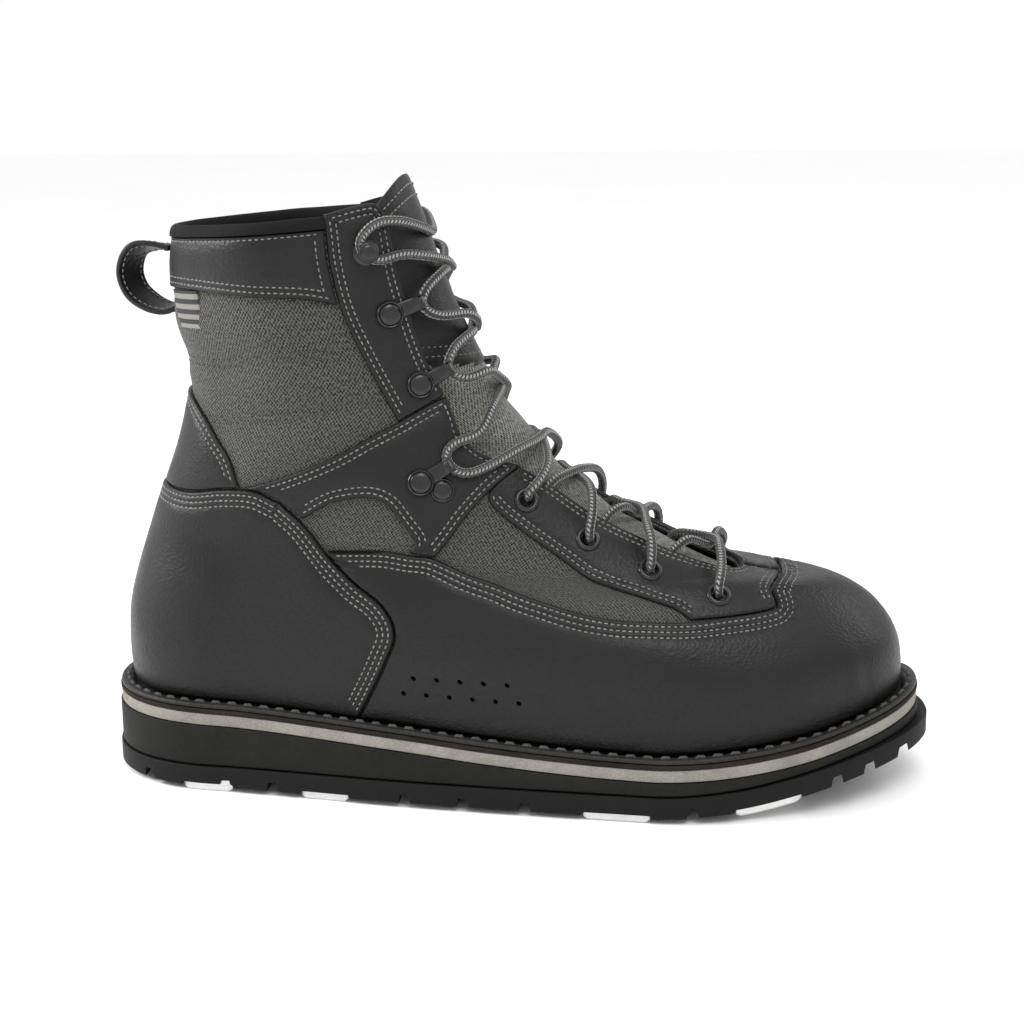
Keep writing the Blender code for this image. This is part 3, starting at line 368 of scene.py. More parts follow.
def cross_frames(line):
    """Two cross directions along a line, turning as little as they can."""
    ahead = headings(line)
    start = Vector(ahead[0]).orthogonal()
    one = [np.array(start)]
    for k in range(1, len(line)):
        move = one[-1] - ahead[k] * (one[-1] @ ahead[k])
        one.append(move / np.linalg.norm(move))
    one = np.array(one)
    return one, np.cross(ahead, one)


def nearest(points, line):
    """Distance from each point to a line of short steps."""
    tree = KDTree(len(line))
    for k, spot in enumerate(line):
        tree.insert(spot, k)
    tree.balance()
    k = np.array([tree.find(p)[1] for p in points])
    best = np.linalg.norm(points - line[k], axis=1)
    for step in (-1, 1):
        other = np.clip(k + step, 0, len(line) - 1)
        run = line[other] - line[k]
        size = np.maximum(np.sum(run * run, 1), 1e-18)
        t = np.clip(np.sum((points - line[k]) * run, 1) / size, 0, 1)
        best = np.minimum(best, np.linalg.norm(points - line[k] - run * t[:, None], axis=1))
    return best


def inside(points, loop):
    """Which flat points lie inside a closed outline."""
    made = np.zeros(len(points), bool)
    x, y = points[:, 0], points[:, 1]
    ahead = np.roll(loop, -1, axis=0)
    for (ax, ay), (bx, by) in zip(loop, ahead):
        if ay != by:
            made ^= ((ay > y) != (by > y)) & (x < (bx - ax) * (y - ay) / (by - ay) + ax)
    return made


SEAM_DEPTH, SEAM_WIDTH = 0.38 * MM, 0.5 * MM


class Panel:
    """A piece of leather or cloth on the last, cut to an outline of several edges."""

    def __init__(self, edges, side=0, front=False, step=1.1 * MM):
        """edges run round one side; side 0 mirrors them across the centre line."""
        self.front = front
        self.lines = []
        for points in edges:
            halves = [self.edge(points, -1 if side == 0 else side, step)]
            if side == 0:
                halves.append(self.edge(points, 1, step))
            self.lines.append(halves)
        loop = [line[0] for line in self.lines]
        if side == 0:
            loop += [line[1][::-1] for line in reversed(self.lines)]
        flat = np.vstack([part[:-1] for part in loop])
        keep = np.linalg.norm((flat - np.roll(flat, 1, axis=0)) * (1, LEVEL_RISE), axis=1) > 0.15 * MM
        self.flat = flat[keep]
        closed = self.flat * (1, LEVEL_RISE)
        area = np.sum(closed[:, 0] * np.roll(closed[:, 1], -1) - np.roll(closed[:, 0], -1) * closed[:, 1])
        self.turn = 1 if area > 0 else -1
        self.rim = face(self.flat[:, 0], self.flat[:, 1], front)
        self.side = side

    def edge(self, points, side, step):
        """An edge's smooth line as (signed length, level), with even steps on the face."""
        points = np.asarray(points, float)
        gaps = np.linalg.norm(np.diff(points, axis=0) * (0.25, LEVEL_RISE), axis=1)
        spots = np.concatenate(((0,), np.cumsum(gaps)))
        line = smooth(np.column_stack((spots, points)), np.linspace(0, spots[-1], 30 * len(points)))
        u = across(line[:, 0], line[:, 1], float(side), self.front)
        spot = face(u, line[:, 1], self.front)
        run = lengths(spot)
        places = np.linspace(0, run[-1], max(2, int(round(run[-1] / step)) + 1))
        return np.column_stack((np.interp(places, run, u), np.interp(places, run, line[:, 1])))

    def inward(self, line, distance, turn):
        """A line moved into the panel by a distance on the face, in short steps."""
        run = headings(face(line[:, 0], line[:, 1], self.front))
        steps = max(1, math.ceil(distance / MM))
        reach = turn * (1 if self.front else -1) * distance / steps
        moved = line
        for _ in range(steps):
            _, normal, slope_u, slope_v = frame_at(moved[:, 0], np.maximum(moved[:, 1], 0), self.front)
            away = np.cross(normal, run) * reach
            uu, uv, vv = (np.sum(a * b, 1) for a, b in
                          ((slope_u, slope_u), (slope_u, slope_v), (slope_v, slope_v)))
            along_u, along_v = np.sum(away * slope_u, 1), np.sum(away * slope_v, 1)
            whole = (uu * vv - uv * uv)[:, None]
            shift = np.column_stack((along_u * vv - along_v * uv, along_v * uu - along_u * uv))
            moved = moved + shift / whole
        return moved

    def offset(self, number, half, distance):
        """One edge moved into the panel; points that come too near to any edge are left out."""
        line = self.lines[number][half]
        moved = self.inward(line, distance, self.turn if half == 0 else -self.turn)
        moved[:, 1] = np.maximum(moved[:, 1], 0)
        spots = face(moved[:, 0], moved[:, 1], self.front)
        good = nearest(spots, np.vstack((self.rim, self.rim[:1]))) > 0.93 * distance
        return moved[good & inside(moved, self.flat)]

    def heights(self, flat):
        """Height over the last of the panel's top at flat places."""
        spots = face(flat[:, 0], flat[:, 1], self.front)
        rim = nearest(spots, np.vstack((self.rim, self.rim[:1])))
        bend = np.clip(rim / self.round, 0, 1)
        height = self.base + self.thick * (0.4 + 0.6 * np.sqrt(1 - (1 - bend) ** 2))
        for number, offsets in self.seams:
            for half in range(len(self.lines[number])):
                line = self.lines[number][half]
                away = nearest(spots, face(line[:, 0], line[:, 1], self.front))
                for distance in offsets:
                    height -= SEAM_DEPTH * np.exp(-((away - distance) / SEAM_WIDTH) ** 2) * (rim > 1.0 * MM)
        if self.relief:
            along, _ = share_along(flat[:, 0], flat[:, 1], self.front)
            height += self.relief(along, flat[:, 1], spots) * np.clip(rim / (4 * MM), 0, 1)
        return height

    def build(self, name, finish, thick, base=0.1 * MM, seams=(), cell=3.0 * MM, relief=None, slot="leather",
              nodes=(), holes=(), rounding=1.1 * MM, backing=None):
        """holes are (along, level, side, radius); seams are (edge number, stitch distances)."""
        self.base, self.thick, self.round, self.seams, self.relief = base, thick, rounding, seams, relief
        rows = [0.22 * rounding, 0.55 * rounding, rounding]
        extra = []
        for number in range(len(self.lines)):
            wanted = list(rows)
            for seam, offsets in seams:
                if seam == number:
                    wanted += [d + shift for d in offsets for shift in (-0.5 * MM, 0, 0.5 * MM)]
            for half in range(len(self.lines[number])):
                extra += [self.offset(number, half, distance) for distance in wanted]
        flat = np.vstack([row for row in extra if len(row)])
        low, high = self.flat.min(0), self.flat.max(0)
        step_v = cell / LEVEL_RISE * 0.9
        across_cells = np.arange(low[0], high[0], cell)
        rows_up = np.arange(low[1], high[1], step_v)
        grid = np.array([(u + (i % 2) * cell / 2, v) for i, v in enumerate(rows_up) for u in across_cells])
        grid = grid[inside(grid, self.flat)]
        if len(grid):
            spots = face(grid[:, 0], grid[:, 1], self.front)
            close = np.vstack((self.rim, face(flat[:, 0], flat[:, 1], self.front)))
            tree = KDTree(len(close))
            for k, spot in enumerate(close):
                tree.insert(spot, k)
            tree.balance()
            grid = grid[np.array([tree.find(spot)[2] > 0.6 * cell for spot in spots])]
            flat = np.vstack((flat, grid))
        loop = len(self.flat)
        flat = np.vstack((self.flat, flat))
        edges = [(k, (k + 1) % loop) for k in range(loop)]
        gone = []
        for along, level, side, radius in holes:
            middle = across(along, level, side, self.front)[0]
            point, normal, slope_u, slope_v = frame_at(np.array((middle,)), np.array((level,)), self.front)
            sizes = np.linalg.norm(slope_u[0]), np.linalg.norm(slope_v[0])
            away = np.hypot((flat[:, 0] - middle) * sizes[0], (flat[:, 1] - level) * sizes[1])
            flat = flat[(away > 1.6 * radius) | (np.arange(len(flat)) < loop)]
            gone.append((middle, level, radius, sizes))
        for middle, level, radius, sizes in gone:
            for share in (1.0, 1.35):
                start = len(flat)
                turns = np.linspace(0, 2 * math.pi, 20, endpoint=False)
                ring = np.column_stack((middle + np.cos(turns) * radius * share / sizes[0],
                                        level + np.sin(turns) * radius * share / sizes[1]))
                flat = np.vstack((flat, ring))
                edges += [(start + k, start + (k + 1) % 20) for k in range(20)]
        scale = np.array((1 / MM, LEVEL_RISE / MM))
        result = delaunay_2d_cdt([Vector(p) for p in flat * scale], edges, [], 1, 1e-4)
        flat = np.array([tuple(v) for v in result[0]]) / scale
        faces = [tuple(f) for f in result[2]]
        for middle, level, radius, sizes in gone:
            kept = []
            for corners in faces:
                u, v = flat[list(corners)].mean(0)
                if math.hypot((u - middle) * sizes[0], (v - level) * sizes[1]) > radius:
                    kept.append(corners)
            faces = kept
        used = sorted(set(k for corners in faces for k in corners))
        flat = flat[used]
        index = {k: i for i, k in enumerate(used)}
        faces = [tuple(index[k] for k in corners) for corners in faces]
        point, normal, _, _ = frame_at(flat[:, 0], flat[:, 1], self.front)
        top = point + normal * self.heights(flat)[:, None]
        under = point + normal * base
        count = len(flat)
        sides = {}
        for a, b, c in faces:
            for edge in ((a, b), (b, c), (c, a)):
                sides[edge] = True
        border = [edge for edge in sides if (edge[1], edge[0]) not in sides]
        out = np.sum(np.cross(top[[f[1] for f in faces]] - top[[f[0] for f in faces]],
                              top[[f[2] for f in faces]] - top[[f[0] for f in faces]])
                     * normal[[f[0] for f in faces]]) > 0
        if not out:
            faces = [f[::-1] for f in faces]
            border = [(b, a) for a, b in border]
        everything = list(faces) + [(c + count, b + count, a + count) for a, b, c in faces]
        everything += [(b, a, a + count, b + count) for a, b in border]
        second = (backing, range(len(faces), len(everything))) if backing else None
        weave = np.column_stack((flat[:, 0], flat[:, 1] * LEVEL_RISE, np.zeros(count)))
        return piece(name, np.vstack((top, under)), everything, finish, nodes, second=second,
                     marks={"weave": np.vstack((weave, weave))})

    def seam_lines(self):
        """Stitch lines as runs of flat places."""
        for number, offsets in self.seams:
            for half in range(len(self.lines[number])):
                for distance in offsets:
                    line = self.offset(number, half, distance)
                    if len(line) > 4:
                        yield line


STITCH_SECTION = tuple((math.cos(t), math.sin(t)) for t in np.linspace(0, 2 * math.pi, 5, endpoint=False))
# Stitch: share along its length, width and height in thread radii
STITCH_PROFILE = ((-0.50, 0.55, -0.9), (-0.26, 1.0, 0.35), (0.26, 1.0, 0.35), (0.50, 0.55, -0.9))


class Thread:
    """Stitches gathered for one piece."""

    def __init__(self, length=1.75 * MM, pitch=2.3 * MM, radius=0.29 * MM):
        self.length, self.pitch, self.radius = length, pitch, radius
        self.vertices, self.faces = [], []

    def stitch(self, middle, ahead, up, size=1.0):
        start = len(self.vertices)
        beside = np.cross(up, ahead)
        for along, wide, high in STITCH_PROFILE:
            centre = middle + ahead * along * self.length * size + up * high * self.radius
            for a, b in STITCH_SECTION:
                self.vertices.append(centre + (beside * a + up * b * 0.8) * self.radius * wide)
        width, rows = len(STITCH_SECTION), len(STITCH_PROFILE)
        for a, b, c, d in grid_faces(rows, width, closed=True):
            self.faces.append((start + a, start + b, start + c, start + d))
        self.faces.append(tuple(start + k for k in reversed(range(width))))
        self.faces.append(tuple(start + (rows - 1) * width + k for k in range(width)))

    def sew(self, points, normals):
        """Stitches along a line on a surface, leaving gaps where the line jumps."""
        steps = np.linalg.norm(np.diff(points, axis=0), axis=1)
        breaks = np.flatnonzero(steps > 4 * MM)
        for run in np.split(np.arange(len(points)), breaks + 1):
            if len(run) < 4:
                continue
            line, up = points[run], normals[run]
            length = lengths(line)
            count = int(length[-1] / self.pitch)
            if count < 1:
                continue
            spots = (np.arange(count) + 0.5) * length[-1] / count
            middle = np.column_stack([np.interp(spots, length, line[:, k]) for k in range(3)])
            rise = np.column_stack([np.interp(spots, length, up[:, k]) for k in range(3)])
            before = np.column_stack([np.interp(spots - 0.6 * MM, length, line[:, k]) for k in range(3)])
            after = np.column_stack([np.interp(spots + 0.6 * MM, length, line[:, k]) for k in range(3)])
            for m, n, a, b in zip(middle, rise, before, after):
                ahead = b - a
                ahead = ahead - n * (ahead @ n) / (n @ n)
                ahead /= np.linalg.norm(ahead)
                self.stitch(m, ahead, n / np.linalg.norm(n), 1 + rng.uniform(-0.06, 0.06))

    def sew_panel(self, panel):
        for line in panel.seam_lines():
            point, normal, _, _ = frame_at(line[:, 0], line[:, 1], panel.front)
            self.sew(point + normal * (panel.heights(line) + 0.02 * MM)[:, None], normal)

    def build(self, name, finish):
        return piece(name, self.vertices, self.faces, finish, angle=80)


# Finishes
class Socket:
    """An output in a node tree; arithmetic on it adds Math nodes."""

    def __init__(self, finish, socket):
        self.finish, self.socket = finish, socket

    def math(self, operation, *values):
        return self.finish.node("ShaderNodeMath", {"operation": operation}, dict(enumerate(values)))

    def __add__(self, other):
        return self.math("ADD", self, other)

    def __sub__(self, other):
        return self.math("SUBTRACT", self, other)

    def __rsub__(self, other):
        return self.math("SUBTRACT", other, self)

    def __mul__(self, other):
        return self.math("MULTIPLY", self, other)

    def __abs__(self):
        return self.math("ABSOLUTE", self)

    def __mod__(self, other):
        return self.math("FLOORED_MODULO", self, other)

    def __gt__(self, other):
        return self.math("GREATER_THAN", self, other)

    __radd__ = __add__
    __rmul__ = __mul__

    def sin(self):
        return self.math("SINE", self)


class Finish:
    """A Principled material; numbers set its own sockets, and nodes feed what varies."""

    def __init__(self, name, colour, rough=0.5, metallic=0.0, **sockets):
        self.material = bpy.data.materials.new(name)
        self.material.use_nodes = True
        self.tree = self.material.node_tree
        self.shader = self.tree.nodes["Principled BSDF"]
        self.set("Base Color", (*colour, 1))
        self.set("Roughness", rough)
        self.set("Metallic", metallic)
        for key, value in sockets.items():
            self.set(key.replace("_", " ").title().replace("Ior", "IOR"), value)
        self.place = self.node("ShaderNodeTexCoord", {}, {}, "Object")

    def put(self, socket, value):
        if isinstance(value, Socket):
            self.tree.links.new(value.socket, socket)
        else:
            socket.default_value = value

    def set(self, name, value):
        self.put(self.shader.inputs[name], value)

    def node(self, kind, settings, inputs, output=0):
        made = self.tree.nodes.new(kind)
        for key, value in settings.items():
            setattr(made, key, value)
        for key, value in inputs.items():
            self.put(made.inputs[key], value)
        return Socket(self, made.outputs[output])

    def stretched(self, scale, where=None):
        return self.node("ShaderNodeVectorMath", {"operation": "MULTIPLY"},
                         {0: where or self.place, 1: scale})

    def noise(self, size, detail=3.0, stretch=(1, 1, 1), rough=0.55, where=None):
        where = self.stretched(stretch, where)
        return self.node("ShaderNodeTexNoise", {}, {"Vector": where, "Scale": 1 / size, "Detail": detail,
                                                    "Roughness": rough})

    def cells(self, size):
        return self.node("ShaderNodeTexVoronoi", {}, {"Vector": self.place, "Scale": 1 / size})

    def step(self, value, low, high, first=0.0, last=1.0):
        return self.node("ShaderNodeMapRange", {"interpolation_type": "SMOOTHSTEP"},
                         {0: value, 1: low, 2: high, 3: first, 4: last})

    def blend(self, factor, first, second):
        first = first if isinstance(first, Socket) else (*first, 1)
        second = second if isinstance(second, Socket) else (*second, 1)
        return self.node("ShaderNodeMix", {"data_type": "RGBA"}, {0: factor, 6: first, 7: second}, 2)

    def weave(self):
        """Two socket lengths over the cloth, in metres."""
        spot = self.node("ShaderNodeAttribute", {"attribute_name": "weave"}, {}, "Vector")
        parts = self.node("ShaderNodeSeparateXYZ", {}, {0: spot}, "X")
        return parts, Socket(self, parts.socket.node.outputs["Y"]), spot

    def bump(self, height, distance):
        self.set("Normal", self.node("ShaderNodeBump", {}, {"Strength": 1.0, "Distance": distance,
                                                            "Height": height}))


WEAVE_PITCH = 1.35 * MM


def make_leather(name, colour=(0.0052, 0.0052, 0.0049), shine=0.40):
    f = Finish(name, colour, shine, specular_ior_level=0.29)
    broad = f.noise(0.035, 4)
    fine = f.noise(0.0016, 4)
    pores = f.cells(0.0011)
    tone = f.blend(f.step(broad, 0.3, 0.75), colour, tuple(1.45 * c for c in colour))
    f.set("Base Color", f.blend(f.step(fine, 0.35, 0.75, 0.0, 0.55), tone, tuple(0.55 * c for c in colour)))
    f.set("Roughness", f.step(broad + fine * 0.5, 0.45, 1.05, shine - 0.06, shine + 0.14))
    f.bump(fine * 0.6 + pores * 0.5 + f.noise(0.006, 3) * 0.3, 0.0002)
    return f.material


def make_fabric(name, light, dark):
    f = Finish(name, light, 0.82, specular_ior_level=0.3, sheen_weight=0.15)
    x, y, spot = f.weave()
    waves = 2 * math.pi / WEAVE_PITCH
    warp, weft = (x * waves).sin(), (y * waves).sin()
    checks = warp * weft
    speck = f.noise(0.0009, 2, where=spot, rough=0.7)
    tone = f.step(checks * 0.30 + speck * 1.3, 0.42, 0.86)
    f.set("Base Color", f.blend(tone, dark, light))
    f.set("Roughness", f.step(tone, 0, 1, 0.9, 0.75))
    f.bump(abs(warp) * 0.5 + abs(weft) * 0.5 + checks * 0.6 + speck * 0.4, 0.00032)
    return f.material


def make_grain(name, colour, rough, size, depth, spread=0.35, stretch=(1, 1, 1), metallic=0.0, **sockets):
    """A moulded, cut or brushed material with a grain of one size."""
    f = Finish(name, colour, rough, metallic, **sockets)
    fine = f.noise(size, 4, stretch, 0.65)
    broad = f.noise(size * 14, 3)
    tone = f.step(fine * 0.6 + broad * 0.5, 0.35, 0.75)
    f.set("Base Color", f.blend(tone, tuple(c * (1 - spread) for c in colour),
                                tuple(min(1.0, c * (1 + spread)) for c in colour)))
    f.set("Roughness", f.step(fine + broad, 0.6, 1.4, rough - 0.07, rough + 0.09))
    f.bump(fine, depth)
    return f.material


def make_braid(name):
    """Round lace: small diagonal plaits with light tracer flecks and painted shade in the grooves between
    the plaits.
    """
    f = Finish(name, (0.030, 0.030, 0.031), 0.8, sheen_weight=0.2)
    x, y, _ = f.weave()
    turn, run = y * (8 * math.pi), x * (2 * math.pi / LACE_PLAIT)
    plait = (run + turn).sin() * (run - turn).sin()
    tracer = (turn.sin() > 0.25) * ((x * (1 / 0.0014) + y * 4.0) % 1.0 > 0.42)
    # The plait's grooves are painted darker than its raised strands: painted shade in the braid's recesses.
    tone = f.blend(f.step(plait, -0.8, 0.8), (0.008, 0.008, 0.009), (0.030, 0.030, 0.031))
    f.set("Base Color", f.blend(tracer * 0.8, tone, (0.34, 0.34, 0.32)))
    f.set("Roughness", f.step(plait, -1, 1, 0.9, 0.72))
    f.bump(plait + f.noise(0.0007, 2) * 0.4, 0.0003)
    return f.material


def make_stripes(name):
    f = Finish(name, (0.3, 0.3, 0.3), 0.75)
    x, y, _ = f.weave()
    band = (x * (1 / 0.0026)) % 1.0 > 0.5
    thread = (y * (2 * math.pi / 0.0006)).sin()
    tone = f.blend(band, (0.30, 0.29, 0.26), (0.030, 0.031, 0.034))
    f.set("Base Color", f.blend(f.step(thread, -1, 1, 0, 0.25), tone, (0.02, 0.02, 0.02)))
    f.bump(thread, 0.00015)
    return f.material


leather = make_leather("leather_charcoal")
leather_edge = make_leather("leather_flange", (0.0125, 0.0118, 0.0105), 0.5)
fabric = make_fabric("fabric_grey", (0.096, 0.097, 0.089), (0.007, 0.007, 0.0066))
tongue_cloth = make_fabric("fabric_tongue", (0.270, 0.271, 0.241), (0.022, 0.022, 0.020))
lining = make_grain("lining_black", (0.006, 0.006, 0.006), 0.9, 0.0008, 0.0002, specular_ior_level=0.15)
binding = make_grain("binding_knit", (0.005, 0.005, 0.0055), 0.85, 0.0007, 0.0003, stretch=(1, 1, 0.4),
                     specular_ior_level=0.2)
rubber = make_grain("rubber_outsole", (0.0050, 0.0050, 0.0050), 0.62, 0.0011, 0.00018,
                    specular_ior_level=0.17)
wedge_finish = make_grain("wedge_rubber", (0.0075, 0.0073, 0.0058), 0.66, 0.0016, 0.0002, 0.45,
                          specular_ior_level=0.18)
foam_finish = make_grain("foam_grey_beige", (0.238, 0.224, 0.199), 0.88, 0.0008, 0.0003, 0.22,
                         specular_ior_level=0.2)
board_finish = make_grain("board_fibre", (0.016, 0.0115, 0.009), 0.85, 0.0012, 0.0004, 0.7, (0.18, 0.18, 3),
                          specular_ior_level=0.2)
footbed = make_grain("footbed_felt", (0.014, 0.014, 0.015), 0.95, 0.0009, 0.0003)
aluminium = make_grain("aluminium_brushed", (0.62, 0.62, 0.61), 0.36, 0.0009, 0.00008, 0.12, (0.15, 1, 1),
                       0.85)
black_metal = make_grain("metal_black", (0.011, 0.011, 0.0115), 0.3, 0.0012, 0.00004, 0.3, metallic=0.4,
                         coat_weight=0.25)
steel = make_grain("metal_worn_steel", (0.30, 0.30, 0.30), 0.36, 0.0008, 0.00005, 0.25, metallic=0.9)
thread_light = make_grain("thread_grey", (0.175, 0.175, 0.165), 0.8, 0.0004, 0.0001, 0.4)
thread_dark = make_grain("thread_charcoal", (0.045, 0.045, 0.045), 0.8, 0.0005, 0.00015, 0.5)
braid = make_braid("lace_braid")
stripes = make_stripes("tag_stripes")
floor_finish = make_grain("floor_paper", (0.97, 0.97, 0.97), 0.95, 0.4, 0.0, 0.01)


# Upper and its panels
def level_line(level, start, end, count=7):
    return tuple((start + (end - start) * k / (count - 1), level) for k in range(count))


def flipped(rows):
    return tuple(rows)[::-1]


def wobble(spots, size=0.03, height=0.22 * MM, seed=0.0):
    """Slow unevenness of hand-lasted leather."""
    from_noise = [noise.noise(Vector(s) / size + Vector((seed, 0, 0))) for s in spots]
    return np.array(from_noise) * height


def drain_holes():
    for start_a, start_l, end_a, end_l, count in DRAIN_HOLES:
        for k in range(count):
            share = k / (count - 1)
            for side in (-1, 1):
                yield (start_a + (end_a - start_a) * share, start_l + (end_l - start_l) * share, side,
                       DRAIN_RADIUS)


def quilt_lines():
    rows = []
    for points in CHANNELS + (CUFF_LOW, flipped(STRIP_BACK), ANKLE_TOP[:5], BACKSTAY_FRONT):
        fine = fair(np.array(points) * ROUGH_MM, 2.0) / ROUGH_MM
        for side in (-1, 1):
            rows.append(last(fine[:, 0], fine[:, 1], side))
    return np.vstack(rows)


QUILT_SOFT, QUILT_PUFF = 6.5 * MM, 1.5 * MM


def quilted_cloth():
    """Relief of the padded cloth between its sewn channels."""
    lines = quilt_lines()
    window = np.array(BACKSTAY_FRONT + ANKLE_TOP[:5] + flipped(STRIP_BACK[3:]) + flipped(CUFF_LOW))

    def relief(along, level, spots):
        away = nearest_spread(spots, lines)
        soft = 1 - np.exp(-(away / QUILT_SOFT) ** 1.6)
        open_cloth = inside(np.column_stack((along, level)), window)
        return QUILT_PUFF * soft * open_cloth + wobble(spots, 0.018, 0.25 * MM) * open_cloth
    return relief


def nearest_spread(points, spread):
    tree = KDTree(len(spread))
    for k, spot in enumerate(spread):
        tree.insert(spot, k)
    tree.balance()
    return np.array([tree.find(p)[2] for p in points])


def leather_relief(seed, creases=()):
    def relief(along, level, spots):
        height = wobble(spots, 0.032, 0.3 * MM, seed)
        for place, rise, run, deep in creases:
            spread = (along - place) / run
            fade = 0.5 + 0.5 * np.cos(np.clip((level - rise) / 2.2, -1, 1) * math.pi)
            height -= deep * np.exp(-spread**2) * fade
        return height
    return relief


def make_upper_shell():
    """The woven bootie of the upper, open at the collar and the throat."""
    edges = (level_line(COLLAR_LEVEL, 0, COLLAR_SHARE, 12), THROAT,
             ((0.990, 7.10), (0.996, 7.05), (1.0, 7.03)),
             tuple((1.0, 7.03 * (1 - k / 8)) for k in range(9)), level_line(0, 1.0, 0, 16))
    holes = list(drain_holes())
    holes += [(along, level, side, EYELET_HOLE) for along, level in EYELETS for side in (-1, 1)]
    shell = Panel(edges, step=1.6 * MM)
    obj = shell.build("upper_cloth", fabric, 2.2 * MM, base=-2.2 * MM, relief=quilted_cloth(), slot="fabric",
                      nodes=("upper",), holes=holes, rounding=0.8 * MM, backing=lining, cell=2.6 * MM)


TRIPLE = (1.9 * MM, 4.0 * MM, 6.1 * MM)
DOUBLE = (1.9 * MM, 4.0 * MM)


def ahead(rows, shift):
    return tuple((along + shift, level) for along, level in rows)


def make_panels():
    """Every leather panel with its stitch grooves, and the thread that sews them."""
    thread = Thread()
    heel_line = flipped(level_line(0, 0, 0.323, 9))
    counter = Panel((COUNTER_TOP, COUNTER_FRONT, heel_line))
    counter.build("heel_counter", leather, 2.4 * MM, seams=((0, TRIPLE), (1, TRIPLE)), nodes=("counter",),
                  relief=leather_relief(1.0), rounding=1.6 * MM)
    thread.sew_panel(counter)

    vamp_back = ((0.341, 7.33),) + ahead(COUNTER_FRONT[2:], 0.0012)
    vamp_rim = flipped(VAMP_END) + flipped(VAMP_TOP)[1:]
    vamp = Panel((vamp_rim, vamp_back, level_line(0, 0.3242, 1.0, 16)), front=True)
    vamp.build("vamp_leather", leather, 1.8 * MM, seams=((0, TRIPLE),), nodes=("vamp",),
               holes=list(drain_holes()), relief=leather_relief(2.0, TOE_CREASES), rounding=1.4 * MM)
    thread.sew_panel(vamp)

    low = ((0.200, 9.12), (0.160, 9.03), (0.082, 8.75), (0.0, 8.69))
    backstay = Panel((BACKSTAY_FRONT, low))
    backstay.build("backstay_leather", leather, 1.7 * MM, seams=((0, DOUBLE),), nodes=("backstay",),
                   relief=leather_relief(3.0))
    thread.sew_panel(backstay)

    cuff_front = ((0.632, 14.18), (0.641, 15.12), (0.652, 15.80))
    cuff = Panel((CUFF_LOW, cuff_front, flipped(level_line(COLLAR_LEVEL, 0, 0.652, 9))))
    cuff.build("cuff_leather", leather, 1.7 * MM, seams=((0, DOUBLE), (1, (3.6 * MM,)), (2, (1.5 * MM,))),
               nodes=("cuff",), relief=leather_relief(4.0))
    thread.sew_panel(cuff)

    for name, side in (("outer", -1), ("inner", 1)):
        low = ((0.654, 11.46), (0.676, 11.56), (0.760, 11.88), (0.820, 12.08))
        back, front = ((0.661, 16.08),) + STRIP_BACK, flipped(THROAT_TOP) + ((0.868, 15.95),)
        top = ((0.868, 15.95), (0.858, 16.12), (0.835, 16.20), (0.76, 16.17), (0.661, 16.08))
        facing = Panel((back, low, front, top), side)
        facing.build("facing_" + name + "_leather", leather, 1.8 * MM,
                     seams=((0, DOUBLE), (2, DOUBLE), (3, DOUBLE)),
                     nodes=("facing_" + name,), relief=leather_relief(5.0 + side))
        thread.sew_panel(facing)

        link = ((0.528, 7.42), (0.510, 7.47), (0.490, 7.53))
        back = ((0.325, 8.36), (0.308, 8.62), (0.290, 8.84), (0.262, 9.06), (0.235, 9.12), (0.205, 9.11))
        ankle = Panel((ANKLE_TOP, ANKLE_THROAT, ANKLE_FRONT, link, WINDOW, back), side)
        ankle.build("ankle_" + name + "_leather", leather, 1.7 * MM,
                    seams=((0, DOUBLE), (1, (1.9 * MM,)), (2, DOUBLE), (4, DOUBLE)),
                    nodes=("ankle_" + name,), relief=leather_relief(8.0 + side))
        thread.sew_panel(ankle)

        low = tuple((a, b + 0.04) for a, b in VAMP_TOP if a > 0.772)
        stay = Panel((EYESTAY_LOW,
                      ((0.773, 4.10), (0.821, 4.13), (0.862, 4.20), (0.888, 4.33), (0.899, 4.66)),
                      ((0.899, 4.66),) + tuple((a, b + 0.05) for a, b in VAMP_END[1:]),
                      ((1.0, 6.30), (1.0, 6.7), (1.0, 7.03)),
                      ((1.0, 7.03), (0.990, 7.10)) + flipped(THROAT_LOW)[1:],
                      ((0.886, 10.25), (0.886, 10.18), (0.828, 9.86), (0.773, 9.50))), side)
        holes = [(a, b, side, EYELET_HOLE) for a, b in EYELETS]
        stay.build("eyestay_" + name + "_leather", leather, 1.7 * MM,
                   seams=((0, DOUBLE), (2, DOUBLE), (4, DOUBLE)),
                   nodes=("eyestay_" + name,), holes=holes, relief=leather_relief(11.0 + side))
        thread.sew_panel(stay)
    thread.build("panel_stitches", thread_light)


# Creases of the toe: share along, level, width as a share, depth
TOE_CREASES = ((0.955, 1.2, 0.006, 0.5 * MM), (0.930, 0.9, 0.006, 0.4 * MM), (0.905, 1.0, 0.007, 0.35 * MM),
               (0.80, 3.2, 0.05, 0.8 * MM))


CHANNEL_GAP = 2.2 * MM


def make_channel_stitches():
    thread = Thread(length=1.7 * MM, pitch=2.9 * MM, radius=0.3 * MM)
    for points in CHANNELS:
        for shift in (-CHANNEL_GAP / 2, CHANNEL_GAP / 2):
            for side in (-1, 1):
                fine = fair(np.array(points) * ROUGH_MM, 1.0) / ROUGH_MM
                level = fine[:, 1] + shift / LEVEL_RISE
                point, normal, _, _ = frame_at(across(fine[:, 0], level, side), level)
                thread.sew(point + normal * 0.12 * MM, normal)
    thread.build("channel_stitches", thread_dark)


# Collar, tongue, loop and tag
def swept(name, rows, finish, nodes, angle):
    """A closed skin over equal rings of points."""
    width = len(rows[0])
    faces = grid_faces(len(rows), width, closed=True)
    faces += [tuple(reversed(range(width))), tuple((len(rows) - 1) * width + k for k in range(width))]
    return piece(name, np.vstack(rows), faces, finish, nodes, angle)


ROLL_HALF, ROLL_RISE = 2.55 * MM, 3.9 * MM


